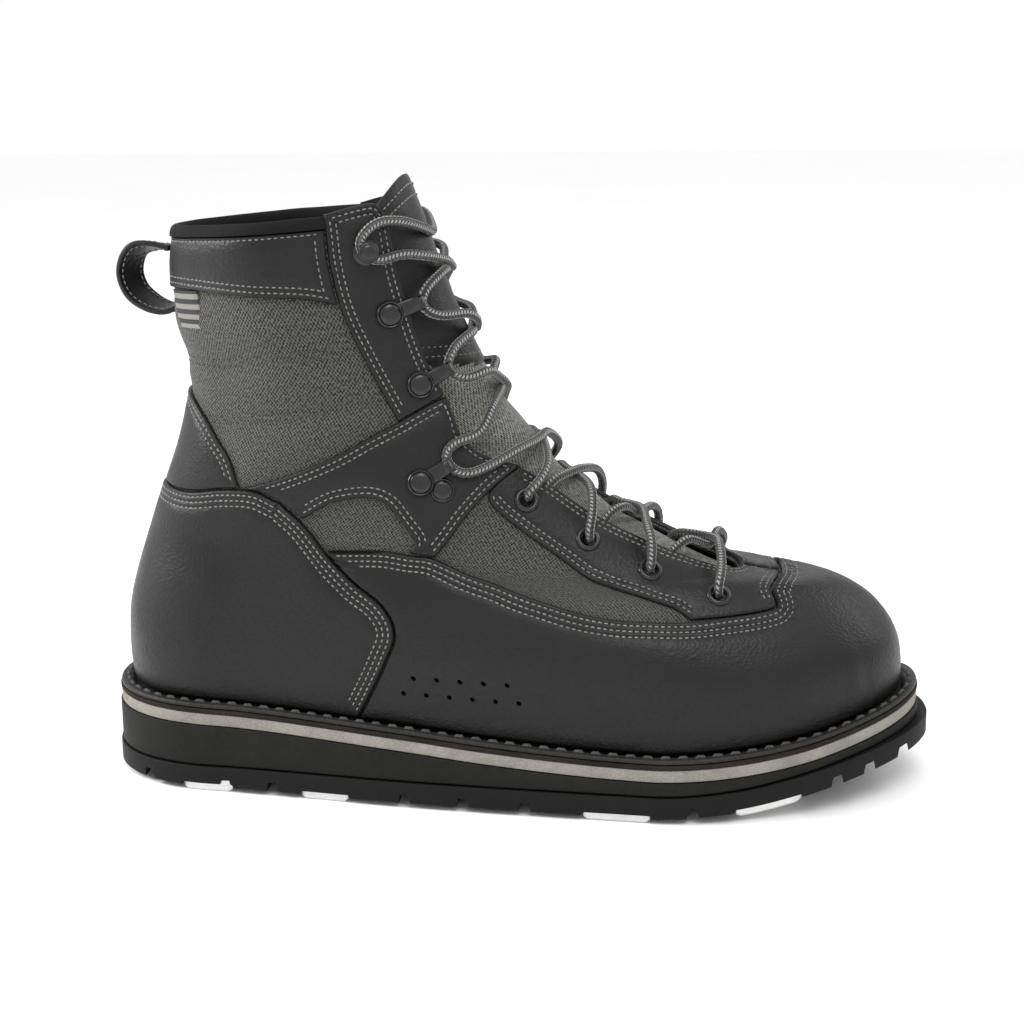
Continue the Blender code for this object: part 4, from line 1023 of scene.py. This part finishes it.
def make_binding():
    turns = np.linspace(-1, 1, 241) * math.acos(1 - 2 * COLLAR_SHARE)
    along = (1 - np.cos(turns)) / 2
    side = np.where(turns <= 0, -1.0, 1.0)
    point, out, _, _ = frame_at(across(along, COLLAR_LEVEL, side), np.full(len(along), COLLAR_LEVEL))
    out[:, 2] = 0
    out /= np.linalg.norm(out, axis=1)[:, None]
    rows = []
    section = np.linspace(-0.15, 1.15, 17) * math.pi
    for k in range(len(point)):
        ends = min(1.0, (min(k, len(point) - 1 - k) + 2.0) / 8)
        puff = 1 + 0.05 * noise.noise(Vector(point[k]) / 0.012)
        slim = 0.75 if along[k] > 0.655 else 1.0
        wide = ROLL_HALF * np.cos(section) * puff * ends * slim - (0.2 + 1.6 * (1 - slim)) * MM
        high = ROLL_RISE * np.clip(np.sin(section) * 1.02, -0.1, 1) * puff * ends + 0.6 * MM
        rows.append(point[k] + out[k] * wide[:, None] + np.array((0, 0, 1)) * high[:, None])
    swept("collar_roll", rows, binding, ("collar_binding",), angle=70)


def tongue_edge(level):
    return smooth(TONGUE_EDGE, level)[:, 0]


TONGUE_ROOT, TONGUE_SHOULDER, TONGUE_TIP = 6.5, 15.9, 16.65
TONGUE_SEAM = 12.75
TONGUE_DEPTH, TONGUE_THICK = 4.0 * MM, 3.2 * MM
TONGUE_HALF, TONGUE_RISE = 30 * MM, 105 * MM
# Folds across the tongue: level, tilt, width in levels, strength
TONGUE_FOLDS = ((11.9, 0.5, 0.25, 1.0), (10.3, -0.6, 0.3, 1.0), (8.9, 0.0, 0.25, 1.0), (12.9, 0.4, 0.2, 0.7))


def tongue_point(rise, reach, depth):
    """A place on the tongue: rise and reach are shares up and across, depth below the upper's face."""
    rise, reach, depth = (np.array(a, float).ravel() for a in np.broadcast_arrays(rise, reach, depth))
    top = TONGUE_SHOULDER + (TONGUE_TIP - TONGUE_SHOULDER) * (1 - np.abs(reach) ** 1.9)
    level = TONGUE_ROOT + (top - TONGUE_ROOT) * rise
    along = 1 - (1 - tongue_edge(level)) * np.abs(reach) ** 1.7
    side = np.where(reach < 0, -1.0, 1.0)
    u = across(along, level, side, True)
    point, normal, _, _ = frame_at(u, level, True)
    return point - normal * depth[:, None], normal, level, u


def make_tongue():
    rises, reaches = np.linspace(0, 1, 131), np.linspace(-1, 1, 57)
    rise, reach = (a.ravel() for a in np.meshgrid(rises, reaches, indexing="ij"))
    point, normal, level, u = tongue_point(rise, reach, TONGUE_DEPTH)
    top = level > TONGUE_SEAM
    edge = np.minimum((1 - np.abs(reach)) * TONGUE_HALF, (1 - rise) * TONGUE_RISE)
    bulge = 0.9 * MM * np.sqrt(np.clip(edge / (2.2 * MM), 0, 1))
    for distance in DOUBLE:
        bulge -= 0.3 * MM * np.exp(-((edge - distance) / (0.6 * MM)) ** 2) * top
    folds = sum(strength * np.exp(-((level - middle - tilt * reach) / wide) ** 2)
                for middle, tilt, wide, strength in TONGUE_FOLDS)
    bulge -= 0.7 * MM * folds * ~top
    bulge += wobble(point, 0.02, 0.35 * MM)
    step = 0.8 * MM * np.clip((level - TONGUE_SEAM) / 0.06, 0, 1)
    front = point + normal * (bulge - 0.9 * MM + step)[:, None]
    back = point - normal * (TONGUE_THICK * np.clip(edge / (1.5 * MM), 0.25, 1))[:, None]
    rows, width = len(rises), len(reaches)
    faces = grid_faces(rows, width)
    leathered = [k for k, f in enumerate(faces) if level[list(f)].mean() > TONGUE_SEAM]
    count = len(front)
    under = [tuple(count + k for k in reversed(f)) for f in faces]
    sides = [(b, a, a + count, b + count) for a, b in grid_rim(rows, width)]
    weave = np.column_stack((u, level * LEVEL_RISE, 0 * u))
    leather_faces = leathered + list(range(2 * len(faces), 2 * len(faces) + len(sides)))
    obj = piece("tongue_pad", np.vstack((front, back)), faces + under + sides, tongue_cloth,
                ("tongue",), second=(leather, leather_faces), marks={"weave": np.vstack((weave, weave))})
    thread = Thread()
    for distance in DOUBLE:
        runs = []
        for reach_side in (-1, 1):
            rise = np.linspace(0.70, 1 - distance / TONGUE_RISE, 60)
            reach = reach_side * (1 - distance / TONGUE_HALF)
            runs.append((rise, np.full(60, reach)))
        across_top = np.linspace(-1, 1, 60) * (1 - distance / TONGUE_HALF)
        runs.append((np.full(60, 1 - distance / TONGUE_RISE), across_top))
        for rise, reach in runs:
            point, normal, level, _ = tongue_point(rise, reach, TONGUE_DEPTH - 0.7 * MM)
            keep = level > TONGUE_SEAM + 0.1
            thread.sew(point[keep], normal[keep])
    for shift in (0.22, 0.42):
        reach = np.linspace(-0.93, 0.93, 80)
        rise = (TONGUE_SEAM + shift - TONGUE_ROOT) / (TONGUE_TIP - TONGUE_ROOT - 0.7 * np.abs(reach) ** 1.9)
        point, normal, _, _ = tongue_point(rise, reach, TONGUE_DEPTH - 0.72 * MM)
        thread.sew(point, normal)
    thread.build("tongue_stitches", thread_light)


LOOP_LEVELS = (14.1, 15.5)
LOOP_PATH = ((0.0, 1.0), (0.35, 1.03), (0.78, 0.96), (1.0, 0.62), (0.92, 0.28), (0.62, 0.06),
             (0.30, -0.03), (0.0, 0.0))
LOOP_REACH, LOOP_WIDTH, LOOP_THICK = 0.0182, 0.0135, 0.0022
LOOP_LEAN = math.radians(28)


def make_pull_loop():
    """The strap that stands out from the back of the cuff, with a stitched edge."""
    (low_x, top_x), (low_z, top_z) = (np.array(a) for a in side_place(np.zeros(2), np.array(LOOP_LEVELS)))
    low_x, top_x = low_x - ORIGIN_X - FIT, top_x - ORIGIN_X - 2.1 * MM
    path = [(low_x + (top_x - low_x) * max(rise, 0) - reach * LOOP_REACH, 0, low_z + rise * (top_z - low_z))
            for reach, rise in LOOP_PATH]
    line = fair(path, 0.8 * MM)
    run = headings(line)
    up = np.cross(np.array((0, 1, 0)), run)
    rows = []
    wide = LOOP_WIDTH / 2
    section = [(-wide, 0), (-0.96 * wide, 0.7), (-0.86 * wide, 1), (-0.78 * wide, 1), (-0.70 * wide, 0.75),
               (-0.62 * wide, 1), (0, 1.08), (0.62 * wide, 1), (0.70 * wide, 0.75), (0.78 * wide, 1),
               (0.86 * wide, 1), (0.96 * wide, 0.7), (wide, 0), (0.95 * wide, -0.8), (0, -1),
               (-0.95 * wide, -0.8)]
    lean = LOOP_LEAN * np.sin(np.linspace(0, math.pi, len(line)))
    wide_way = np.array((0, 1, 0)) * np.cos(lean)[:, None] - up * np.sin(lean)[:, None]
    up = np.cross(wide_way, run)
    for spot, out, beside in zip(line, up, wide_way):
        rows.append([spot + beside * a + out * b * LOOP_THICK / 2 for a, b in section])
    swept("pull_loop_strap", rows, leather, ("pull_loop",), angle=50)
    thread = Thread()
    for edge in (-0.70, 0.70):
        for face_side in (1, -1):
            thread.sew(line + wide_way * edge * wide + up * face_side * 0.9 * LOOP_THICK / 2, up * face_side)
    thread.build("pull_loop_stitches", thread_light)


def make_side_tag():
    alongs, levels = np.linspace(0.030, 0.145, 25), np.linspace(13.72, 14.60, 17)
    level, along = (a.ravel() for a in np.meshgrid(levels, alongs, indexing="ij"))
    share = np.abs(np.linspace(-1, 1, len(alongs)))
    drop = np.tile(0.5 * MM * share**6, len(levels))
    point, normal, _, _ = frame_at(across(along, level, -1.0), level)
    top = point + normal * (1.55 * MM - drop)[:, None]
    under = point + normal * 0.3 * MM
    count, width, rows = len(top), len(alongs), len(levels)
    faces = [f[::-1] for f in grid_faces(rows, width)]
    faces += [tuple(count + k for k in reversed(f)) for f in faces]
    faces += [(a, b, b + count, a + count) for a, b in grid_rim(rows, width)]
    weave = np.column_stack((level * LEVEL_RISE, across(along, level, -1.0), 0 * along))
    piece("side_tag_cloth", np.vstack((top, under)), faces, stripes, ("side_tag",),
          marks={"weave": np.vstack((weave, weave))})


# Metal
def station_frame(along, level, side):
    """Middle on the upper's face, direction to the throat, direction up the facing, outward."""
    u = across(along, level, float(side))
    point, normal, _, _ = frame_at(u, np.array((level,)))
    middle, out = point[0], normal[0]
    up = last(along, level + 0.3, side)[0] - middle
    up -= out * (up @ out)
    up /= np.linalg.norm(up)
    ahead_way = np.cross(up, out)
    if ahead_way @ (last(along + 0.02, level, side)[0] - middle) < 0:
        ahead_way = -ahead_way
    return middle, ahead_way, up, out


def turned(middle, across_way, up, out, profile, sides):
    """Rings of a turned shape about an outward axis; profile gives radius and height."""
    turns = np.linspace(0, 2 * math.pi, sides, endpoint=False)
    return [[middle + (across_way * math.cos(t) + up * math.sin(t)) * radius + out * height for t in turns]
            for radius, height in profile]


def turned_piece(name, place, profile, finish, nodes=(), closed=False, sides=40):
    rows = turned(*place, profile, sides)
    faces = grid_faces(len(rows), sides, closed=True, ring=closed)
    if not closed:
        faces += [tuple(reversed(range(sides))), tuple((len(rows) - 1) * sides + k for k in range(sides))]
    flip = np.cross(place[1], place[2]) @ place[3] < 0
    faces = [f[::-1] for f in faces] if flip else faces
    return piece(name, np.vstack(rows), faces, finish, nodes, 50)


EYELET_PROFILE = tuple((r * MM, h * MM) for r, h in (
    (2.6, -1.3), (3.1, -1.3), (3.1, 1.75), (4.55, 1.75), (4.72, 1.95), (4.66, 2.25), (4.35, 2.62),
    (3.85, 2.85), (3.4, 2.86), (3.0, 2.68), (2.75, 2.35), (2.62, 1.9)))
HOOK_TAB = tuple((a * MM, h * MM) for a, h in (
    (-3.0, 2.5), (0.0, 2.5), (5.0, 2.6), (9.4, 2.8), (11.6, 3.4), (12.6, 4.7), (12.8, 6.1), (12.2, 7.3),
    (11.0, 7.9), (10.0, 7.8)))


def rivet_profile(radius, low, high):
    return tuple((radius * r, low + (high - low) * h) for r, h in (
        (0.0001, 0), (1, 0), (1.0, 0.6), (0.95, 0.88), (0.88, 1), (0.82, 0.95), (0.79, 0.84), (0.76, 0.95),
        (0.70, 1.12), (0.5, 1.24), (0.25, 1.30), (0.0001, 1.32)))


STUD_PROFILE = tuple((r * MM, h * MM) for r, h in (
    (0.01, 1.75), (5.0, 1.75), (5.0, 2.2), (4.6, 2.6), (2.2, 2.8), (1.35, 3.2), (1.3, 5.6), (2.4, 6.0),
    (3.7, 6.1), (3.85, 6.5), (3.6, 7.0), (3.1, 7.15), (2.9, 7.05), (2.7, 7.3), (1.6, 7.5), (0.01, 7.55)))


def make_tab(name, place, width, finish):
    """A sheet-metal tab that runs out and folds back over the lace."""
    middle, across_way, up, out = place
    line = fair([(a, 0, h) for a, h in HOOK_TAB], 0.5 * MM)
    run = headings(line)
    rows = []
    for k, (a, _, h) in enumerate(line):
        share = k / (len(line) - 1)
        tip = math.sqrt(max(0.02, 1 - max(0, share - 0.86) ** 2 / 0.0205))
        wide = width / 2 * (1.08 - 0.22 * share) * tip
        thick = 0.62 * MM
        rise = np.array((-run[k][2], run[k][0]))
        ring = []
        for t in np.linspace(0, 2 * math.pi, 12, endpoint=False):
            c, s = math.cos(t), math.sin(t)
            y = wide * math.copysign(abs(c) ** 0.45, c)
            d = thick * math.copysign(abs(s) ** 0.6, s)
            ring.append(middle + across_way * (a + rise[0] * d) + up * y + out * (h + rise[1] * d))
        rows.append(ring)
    return swept(name, rows, finish, (), angle=60)


def make_metal():
    for side_name, side in (("outer", -1), ("inner", 1)):
        for k, (along, level) in enumerate(EYELETS):
            tag = "_%d_%s" % (k + 1, side_name)
            turned_piece("eyelet_ring" + tag, station_frame(along, level, side), EYELET_PROFILE, black_metal,
                         ("eyelet" + tag,), closed=True)
        for k, (along, level) in enumerate(HOOKS):
            tag = "_%d_%s" % (k + 1, side_name)
            place = station_frame(along, level, side)
            middle, across_way, up, out = place
            profile = STUD_PROFILE if k == 3 else rivet_profile(5.1 * MM, 1.75 * MM, 3.9 * MM)
            turned_piece("hook_rivet" + tag, place, profile, black_metal, ("hook" + tag,))
            if k == 3:
                continue
            if k == 0:
                second = (middle + across_way * 5.4 * MM - up * 6.6 * MM, across_way, up, out)
                turned_piece("hook_lock" + tag, second, rivet_profile(4.6 * MM, 1.2 * MM, 2.9 * MM),
                             black_metal)
            make_tab("hook_tab" + tag, place, 5.8 * MM, black_metal)


# Laces
# Half runs of the lace on the outer side, in millimetres: from a station to the ridge, or back
LEAVE = {
    1: ((194, -27, 79), (194, -31, 83), (195, -25, 88), (194, -14, 94)),
    2: ((168, -25, 87), (169, -28, 90), (169, -25, 98), (167, -18, 102)),
    3: ((146, -24, 98), (146, -28, 102), (147, -25, 109), (146, -18, 116)),
    4: ((123, -23, 114), (123, -27, 116), (127, -26, 120), (130, -20, 126)),
    5: ((94, -32, 128), (93, -32, 131), (96, -31, 135), (105, -26, 138), (109, -20, 146)),
    6: ((93, -24, 163), (94, -24, 166), (96, -21, 170), (101, -12, 174)),
    7: ((84, -25, 186), (85, -24, 190), (87, -21, 193), (91, -13, 197)),
    8: ((63, -33, 207), (65, -33, 212), (70, -30, 216), (77, -25, 216), (83, -14, 213))}
ARRIVE = {
    2: ((182, -8, 95), (178, -12, 93), (175, -15, 90), (173, -19, 85)),
    3: ((158, -7, 107), (153, -14, 106), (150, -17, 102), (148, -20, 97)),
    4: ((137, -7, 120), (132, -16, 119), (129, -19, 116), (126, -21, 111)),
    5: ((125, -9, 133), (118, -22, 131), (108, -29, 126), (101, -32, 124), (97, -32, 125)),
    6: ((109, -6, 157), (107, -16, 160), (101, -22, 158), (96, -24, 159)),
    7: ((102, -6, 178), (99, -12, 181), (91, -21, 181), (86, -24, 183)),
    8: ((91, -6, 200), (85, -20, 203), (77, -27, 204), (69, -31, 202))}
# Crossing, level on the ridge and heights over the upper's face: the run from the outer side, then the other
RIDGE = {1: (7.55, 5.4, 2.0), 2: (8.65, 1.9, -1.5), 3: (9.85, -2.0, 1.0), 4: (11.0, -2.1, 0.4),
         5: (12.2, -2.5, -0.8), 6: (13.4, -2.2, 0.1), 7: (14.7, -1.9, 0.5), 8: (15.5, -1.9, -1.9)}


def near(points):
    return [np.array(p) * MM for p in points]


def far(points):
    """The half run on the inner side, drawn closer to the tongue near its ridge."""
    close = [max(0.0, 1 + y / 20) for x, y, z in points]
    return [np.array((x - 4.4 * c, -y, z - 2.4 * c)) * MM for c, (x, y, z) in zip(close, points)]


def crossing(k, from_outer):
    """One run over the tongue, from station k on one side to station k + 1 on the other."""
    level, first, second = RIDGE[k]
    top = list(lift(1.0, level, 1, (first if from_outer else second) * MM))
    one, two = (near, far) if from_outer else (far, near)
    return one(LEAVE[k]), top, two(ARRIVE[k + 1])


def eased(line, times):
    """A line with its kinks rounded, its ends kept."""
    for _ in range(times):
        line[1:-1] = (line[:-2] + 2 * line[1:-1] + line[2:]) / 4
    return line


def tube(name, routes, finish, nodes):
    sides = LACE_SIDES
    vertices, faces, weave = [], [], []
    for route in routes:
        line = eased(fair(route, 0.8 * MM), 14)
        one, two = cross_frames(line)
        start = len(vertices)
        run = lengths(line)
        for k in range(len(line)):
            for t in np.linspace(0, 2 * math.pi, sides, endpoint=False):
                swell = 1 + 0.03 * math.sin(run[k] * 2 * math.pi / LACE_PLAIT + 4 * t)
                vertices.append(line[k] + (one[k] * math.cos(t) + two[k] * math.sin(t)) * LACE / 2 * swell)
                weave.append((run[k], t / (2 * math.pi), 0))
        for f in grid_faces(len(line), sides, closed=True):
            faces.append(tuple(start + i for i in f))
        faces.append(tuple(start + i for i in reversed(range(sides))))
        faces.append(tuple(start + (len(line) - 1) * sides + i for i in range(sides)))
    return piece(name, vertices, faces, finish, nodes, 80, marks={"weave": weave})


def make_laces():
    for k in (1, 2, 3):
        routes = []
        for from_outer in (True, False):
            leave, top, arrive = crossing(k, from_outer)
            routes.append(leave + top + arrive)
        tube("lace_run_%d" % k, routes, braid, ("lace_cross_%d" % k,))
    whole = {}
    for from_outer in (True, False):
        route, side = [], from_outer
        for k in (4, 5, 6, 7):
            leave, top, arrive = crossing(k, side)
            route += leave + top + arrive
            side = not side
        whole[from_outer] = route
    top_bar = near(LEAVE[8]) + list(lift(1.0, RIDGE[8][0], 1, RIDGE[8][1] * MM)) + far(LEAVE[8])[::-1]
    strand = whole[True] + top_bar + whole[False][::-1]
    tube("lace_long_run", [strand], braid,
         ("lace_cross_4", "lace_cross_5", "lace_cross_6", "lace_cross_7", "lace_top"))


# Sole
# Bars under the tread: node, middle and length as shares of the sole's length
BARS = (("bar_heel_rear", 0.145, 0.062), ("bar_heel_front", 0.293, 0.058), ("bar_ball", 0.643, 0.077),
        ("bar_toe", 0.817, 0.074))
BAR_THICK = 0.0045
BAR_MARGIN = 0.1 * MM
RING_TURNS = np.linspace(0, 1, 261)


def board_top(x):
    return sole_top(x) - EDGE_LEATHER - FIT


def foam_top(x):
    return board_top(x) - BOARD_THICK - FIT


def wedge_top(x):
    return foam_top(x) - FOAM_THICK - FIT


def sole_pairs(offset, toe=0.0, turns=RING_TURNS):
    """Outer and inner edge points of the sole, offset outward from the lasted edge."""
    along = (1 - np.cos(math.pi * turns)) / 2
    made = []
    for side in (-1, 1):
        point = last(along, 0.0, side)
        run = headings(point)
        out = np.column_stack((run[:, 1], -run[:, 0])) * -side
        out[0], out[-1] = (-1, 0), (1, 0)
        out /= np.linalg.norm(out, axis=1)[:, None]
        grow = offset + toe * np.maximum(0, out[:, 0]) ** 2 * (along > 0.5)
        made.append(point[:, :2] + out * grow[:, None])
    return made


def sole_ring(offset, toe=0.0, turns=RING_TURNS):
    outer, inner = sole_pairs(offset, toe, turns)
    return np.vstack((outer, inner[-2:0:-1]))


# Edge of a sole layer: inset, share from top to bottom, drop; insets and drops in edge radii
PLATE_EDGE = ((1.6, 0, 0), (0.75, 0, 0), (0.25, 0, 0.3), (0, 0, 1.0), (0, 0.5, 0), (0, 1, -1.0),
              (0.25, 1, -0.3), (0.75, 1, 0), (1.6, 1, 0))


def plate(name, offset, top, bottom, finish, nodes, toe=0.0, soft=0.5 * MM, rough=0.0,
          turns=RING_TURNS):
    """A sole layer with softened edges; top and bottom are heights along the boot."""
    rows = []
    for inset, share, drop in PLATE_EDGE:
        ring = sole_ring(offset - inset * soft, toe, turns)
        x = ring[:, 0] + ORIGIN_X
        high, low = top(x), bottom(x)
        z = high + (low - high) * share - drop * soft
        if rough:
            shift = [noise.noise(Vector((a / 0.006, b / 0.006, share * 3))) for a, b in ring]
            z = z + (np.array(shift) * rough if drop else 0)
        rows.append(np.column_stack((ring, z)))
    width = len(rows[0])
    faces = [f[::-1] for f in grid_faces(len(rows), width, closed=True)]
    half = len(turns)
    for base, turn in ((0, 1), ((len(rows) - 1) * width, -1)):
        caps = [(base, base + 1, base + width - 1)]
        caps += [(base + k, base + k + 1, base + width - k - 1, base + width - k)
                 for k in range(1, half - 2)]
        caps.append((base + half - 2, base + half - 1, base + half))
        faces += [c[::turn] for c in caps]
    return piece(name, np.vstack(rows), faces, finish, nodes, 45)


def shoe_x(ring):
    return ring[:, 0] + ORIGIN_X


# Section of the turned-out edge, in millimetres: out from the lasted edge, height over the board
FLANGE_SECTION = ((2.9, -0.25), (3.4, 0.35), (4.2, 1.25), (5.0, 1.62), (5.6, 1.45), (6.2, 1.62),
                  (7.6, 1.72), (8.3, 1.45), (8.5, 0.9), (8.5, 0.35), (8.3, 0.05), (5.0, 0.0))


def make_flange():
    """The upper's turned-out edge, stitched down on the board by a heavy lock stitch."""
    rows = []
    for offset, height in FLANGE_SECTION:
        ring = sole_ring(offset * MM - 0.4 * MM)
        rows.append(np.column_stack((ring, board_top(shoe_x(ring)) + FIT + height * MM)))
    faces = [f[::-1] for f in grid_faces(len(rows), len(rows[0]), closed=True, ring=True)]
    piece("stitched_flange", np.vstack(rows), faces, leather_edge, ("stitched_edge",), 60)
    thread = Thread(length=4.7 * MM, pitch=6.4 * MM, radius=0.85 * MM)
    ring = sole_ring(5.2 * MM)
    line = np.column_stack((ring, board_top(shoe_x(ring)) + FIT + 1.5 * MM))
    line = np.vstack((line, line[:1]))
    route = fair(line, 1.0 * MM)
    thread.sew(route, np.tile(np.array((0, 0, 1.0)), (len(route), 1)))
    thread.build("flange_lock_stitches", thread_dark)


# Notches across the lugs: middle as a share of the sole's length, half width, depth
NOTCHES = tuple((place, 1.9 * MM, 3.4 * MM) for place in (
    0.066, 0.168, 0.228, 0.392, 0.462, 0.536, 0.731, 0.896, 0.934, 0.975))


def notches(x):
    """How far the tread is cut up into the outsole: grooves between lugs and seats of the bars."""
    depth = np.zeros_like(x)
    for place, half, deep in NOTCHES:
        away = np.abs(x - place * SOLE_LENGTH)
        depth = np.maximum(depth, deep * np.clip((half + 0.25 * MM - away) / (0.5 * MM), 0, 1))
    for _, place, share in BARS:
        away = np.abs(x - place * SOLE_LENGTH) - share * SOLE_LENGTH / 2
        depth = np.maximum(depth, 1.2 * MM * np.clip((0.6 * MM - away) / (0.4 * MM), 0, 1))
    return depth


def make_sole():
    plate("board_layer", FLANGE, board_top, lambda x: board_top(x) - BOARD_THICK, board_finish,
          ("leather_midsole",), soft=0.3 * MM, rough=0.15 * MM)
    plate("foam_strip", FLANGE - FIT, foam_top, lambda x: foam_top(x) - FOAM_THICK, foam_finish,
          ("foam_layer",), soft=0.35 * MM)
    plate("wedge_layer", FLANGE + FIT, wedge_top, lambda x: tread(x) + OUTSOLE_THICK + 2 * FIT, wedge_finish,
          ("wedge_midsole",), soft=0.6 * MM)
    plate("outsole_lugs", FLANGE + OUTSOLE_LIP, lambda x: tread(x) + OUTSOLE_THICK,
          lambda x: tread(x) + notches(x), rubber, ("outsole",), TOE_BUMPER, 0.45 * MM,
          turns=np.linspace(0, 1, 1201))
    insole = bpy.data.objects["insole"]
    insole.material_slots[0].link = "OBJECT"
    insole.material_slots[0].material = footbed


SCREW_PROFILE = tuple((r * MM, h * MM) for r, h in (
    (0.01, 0.0), (3.0, 0.0), (3.0, 0.35), (2.7, 0.6), (1.9, 0.7), (1.5, 0.45), (0.9, 0.35), (0.01, 0.35)))


def make_bars():
    """Flat metal bars that reach the sole's edge, with bevelled corners and a milled step at their ends."""
    outer, inner = sole_pairs(FLANGE)
    for name, place, share in BARS:
        x = (place + np.linspace(-0.5, 0.5, 25) * share) * SOLE_LENGTH
        reach = [np.interp(x - ORIGIN_X, edge[:, 0], edge[:, 1]) for edge in (outer, inner)]
        low, high = reach[0] + BAR_MARGIN, reach[1] - BAR_MARGIN
        under = tread(x) - BAR_PROUD
        rows = []
        for k in range(len(x)):
            end = min(k, len(x) - 1 - k)
            soft = (0.7, 0.25, 0)[min(end, 2)] * MM
            a, b, z = low[k] + soft, high[k] - soft, under[k] + soft
            top = under[k] + BAR_THICK
            rows.append([(x[k] - ORIGIN_X, y, h) for y, h in (
                (a, top), (a, z + 0.7 * MM), (a + 0.25 * MM, z + 0.25 * MM), (a + 0.7 * MM, z),
                (b - 0.7 * MM, z), (b - 0.25 * MM, z + 0.25 * MM), (b, z + 0.7 * MM), (b, top))])
        swept(name + "_metal", [np.array(r) for r in rows], aluminium, (name,), angle=25)


def make_bar_screws():
    """Two countersunk screws under each traction bar."""
    for name, _, _ in BARS:
        low, high = (np.array(corner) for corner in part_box(name))
        for k, share in enumerate((0.28, 0.72)):
            spot = np.array(((low[0] + high[0]) / 2, low[1] + (high[1] - low[1]) * share, 0))
            x = spot[0] + ORIGIN_X
            slope = float(tread(np.array((x + 0.01,)))[0] - tread(np.array((x - 0.01,)))[0]) / 0.02
            out = np.array((slope, 0, -1.0)) / math.hypot(slope, 1)
            run = np.array((1, 0, slope)) / math.hypot(slope, 1)
            spot[2] = float(tread(np.array((x,)))[0]) - BAR_PROUD
            profile = tuple((r, h - 0.62 * MM) for r, h in SCREW_PROFILE)
            turned_piece("screw_%s_%d" % (name, k + 1), (spot, run, np.array((0, 1.0, 0)), out), profile,
                         steel, sides=24)


# Camera, floor and light
CAMERA_PLACE = (0.20136, -0.69533, 0.26704)
CAMERA_YAW, CAMERA_PITCH, CAMERA_ROLL = (math.radians(a) for a in (7.19, 13.23, -0.59))


def make_camera():
    forward = Vector((-math.sin(CAMERA_YAW) * math.cos(CAMERA_PITCH),
                      math.cos(CAMERA_YAW) * math.cos(CAMERA_PITCH), -math.sin(CAMERA_PITCH)))
    right = Vector((math.cos(CAMERA_YAW), math.sin(CAMERA_YAW), 0))
    up = right.cross(forward)
    c, s = math.cos(CAMERA_ROLL), math.sin(CAMERA_ROLL)
    right, up = right * c + up * s, up * c - right * s
    data = bpy.data.cameras.new("camera")
    data.lens, data.sensor_width = 65.33, 36
    data.clip_start, data.clip_end = 0.01, 50
    camera = bpy.data.objects.new("camera", data)
    turn = Matrix((right, up, -forward)).transposed().to_4x4()
    camera.matrix_world = Matrix.Translation(CAMERA_PLACE) @ turn
    bpy.context.scene.collection.objects.link(camera)
    bpy.context.scene.camera = camera


def make_light(name, place, aim, size, power):
    data = bpy.data.lights.new(name, "AREA")
    data.shape, data.size, data.energy = "DISK", size, power
    light = bpy.data.objects.new(name, data)
    light.location = place
    light.rotation_euler = (Vector(aim) - Vector(place)).to_track_quat("-Z", "Y").to_euler()
    bpy.context.scene.collection.objects.link(light)


def make_studio():
    floor = bmesh.new()
    bmesh.ops.create_grid(floor, x_segments=8, y_segments=8, size=6.0)
    mesh = bpy.data.meshes.new("floor")
    floor.to_mesh(mesh)
    floor.free()
    mesh.materials.append(floor_finish)
    obj = bpy.data.objects.new("floor", mesh)
    bpy.context.scene.collection.objects.link(obj)
    world = bpy.data.worlds.new("studio")
    world.use_nodes = True
    world.node_tree.nodes["Background"].inputs["Color"].default_value = (1, 1, 1, 1)
    world.node_tree.nodes["Background"].inputs["Strength"].default_value = 1.0
    bpy.context.scene.world = world
    bpy.context.scene.view_settings.view_transform = "Standard"
    make_light("key", (0.45, -0.9, 1.5), (0.1, 0, 0.08), 0.9, 11)
    make_light("heel_rim", (-1.1, -0.15, 0.75), (0.0, 0, 0.12), 0.6, 15)
    make_light("toe_rim", (1.3, 0.5, 0.9), (0.2, 0, 0.08), 0.7, 4)


make_camera()
make_studio()
make_upper_shell()
make_panels()
make_channel_stitches()
make_binding()
make_tongue()
make_pull_loop()
make_side_tag()
make_metal()
make_laces()
make_flange()
make_sole()
make_bars()
make_bar_screws()
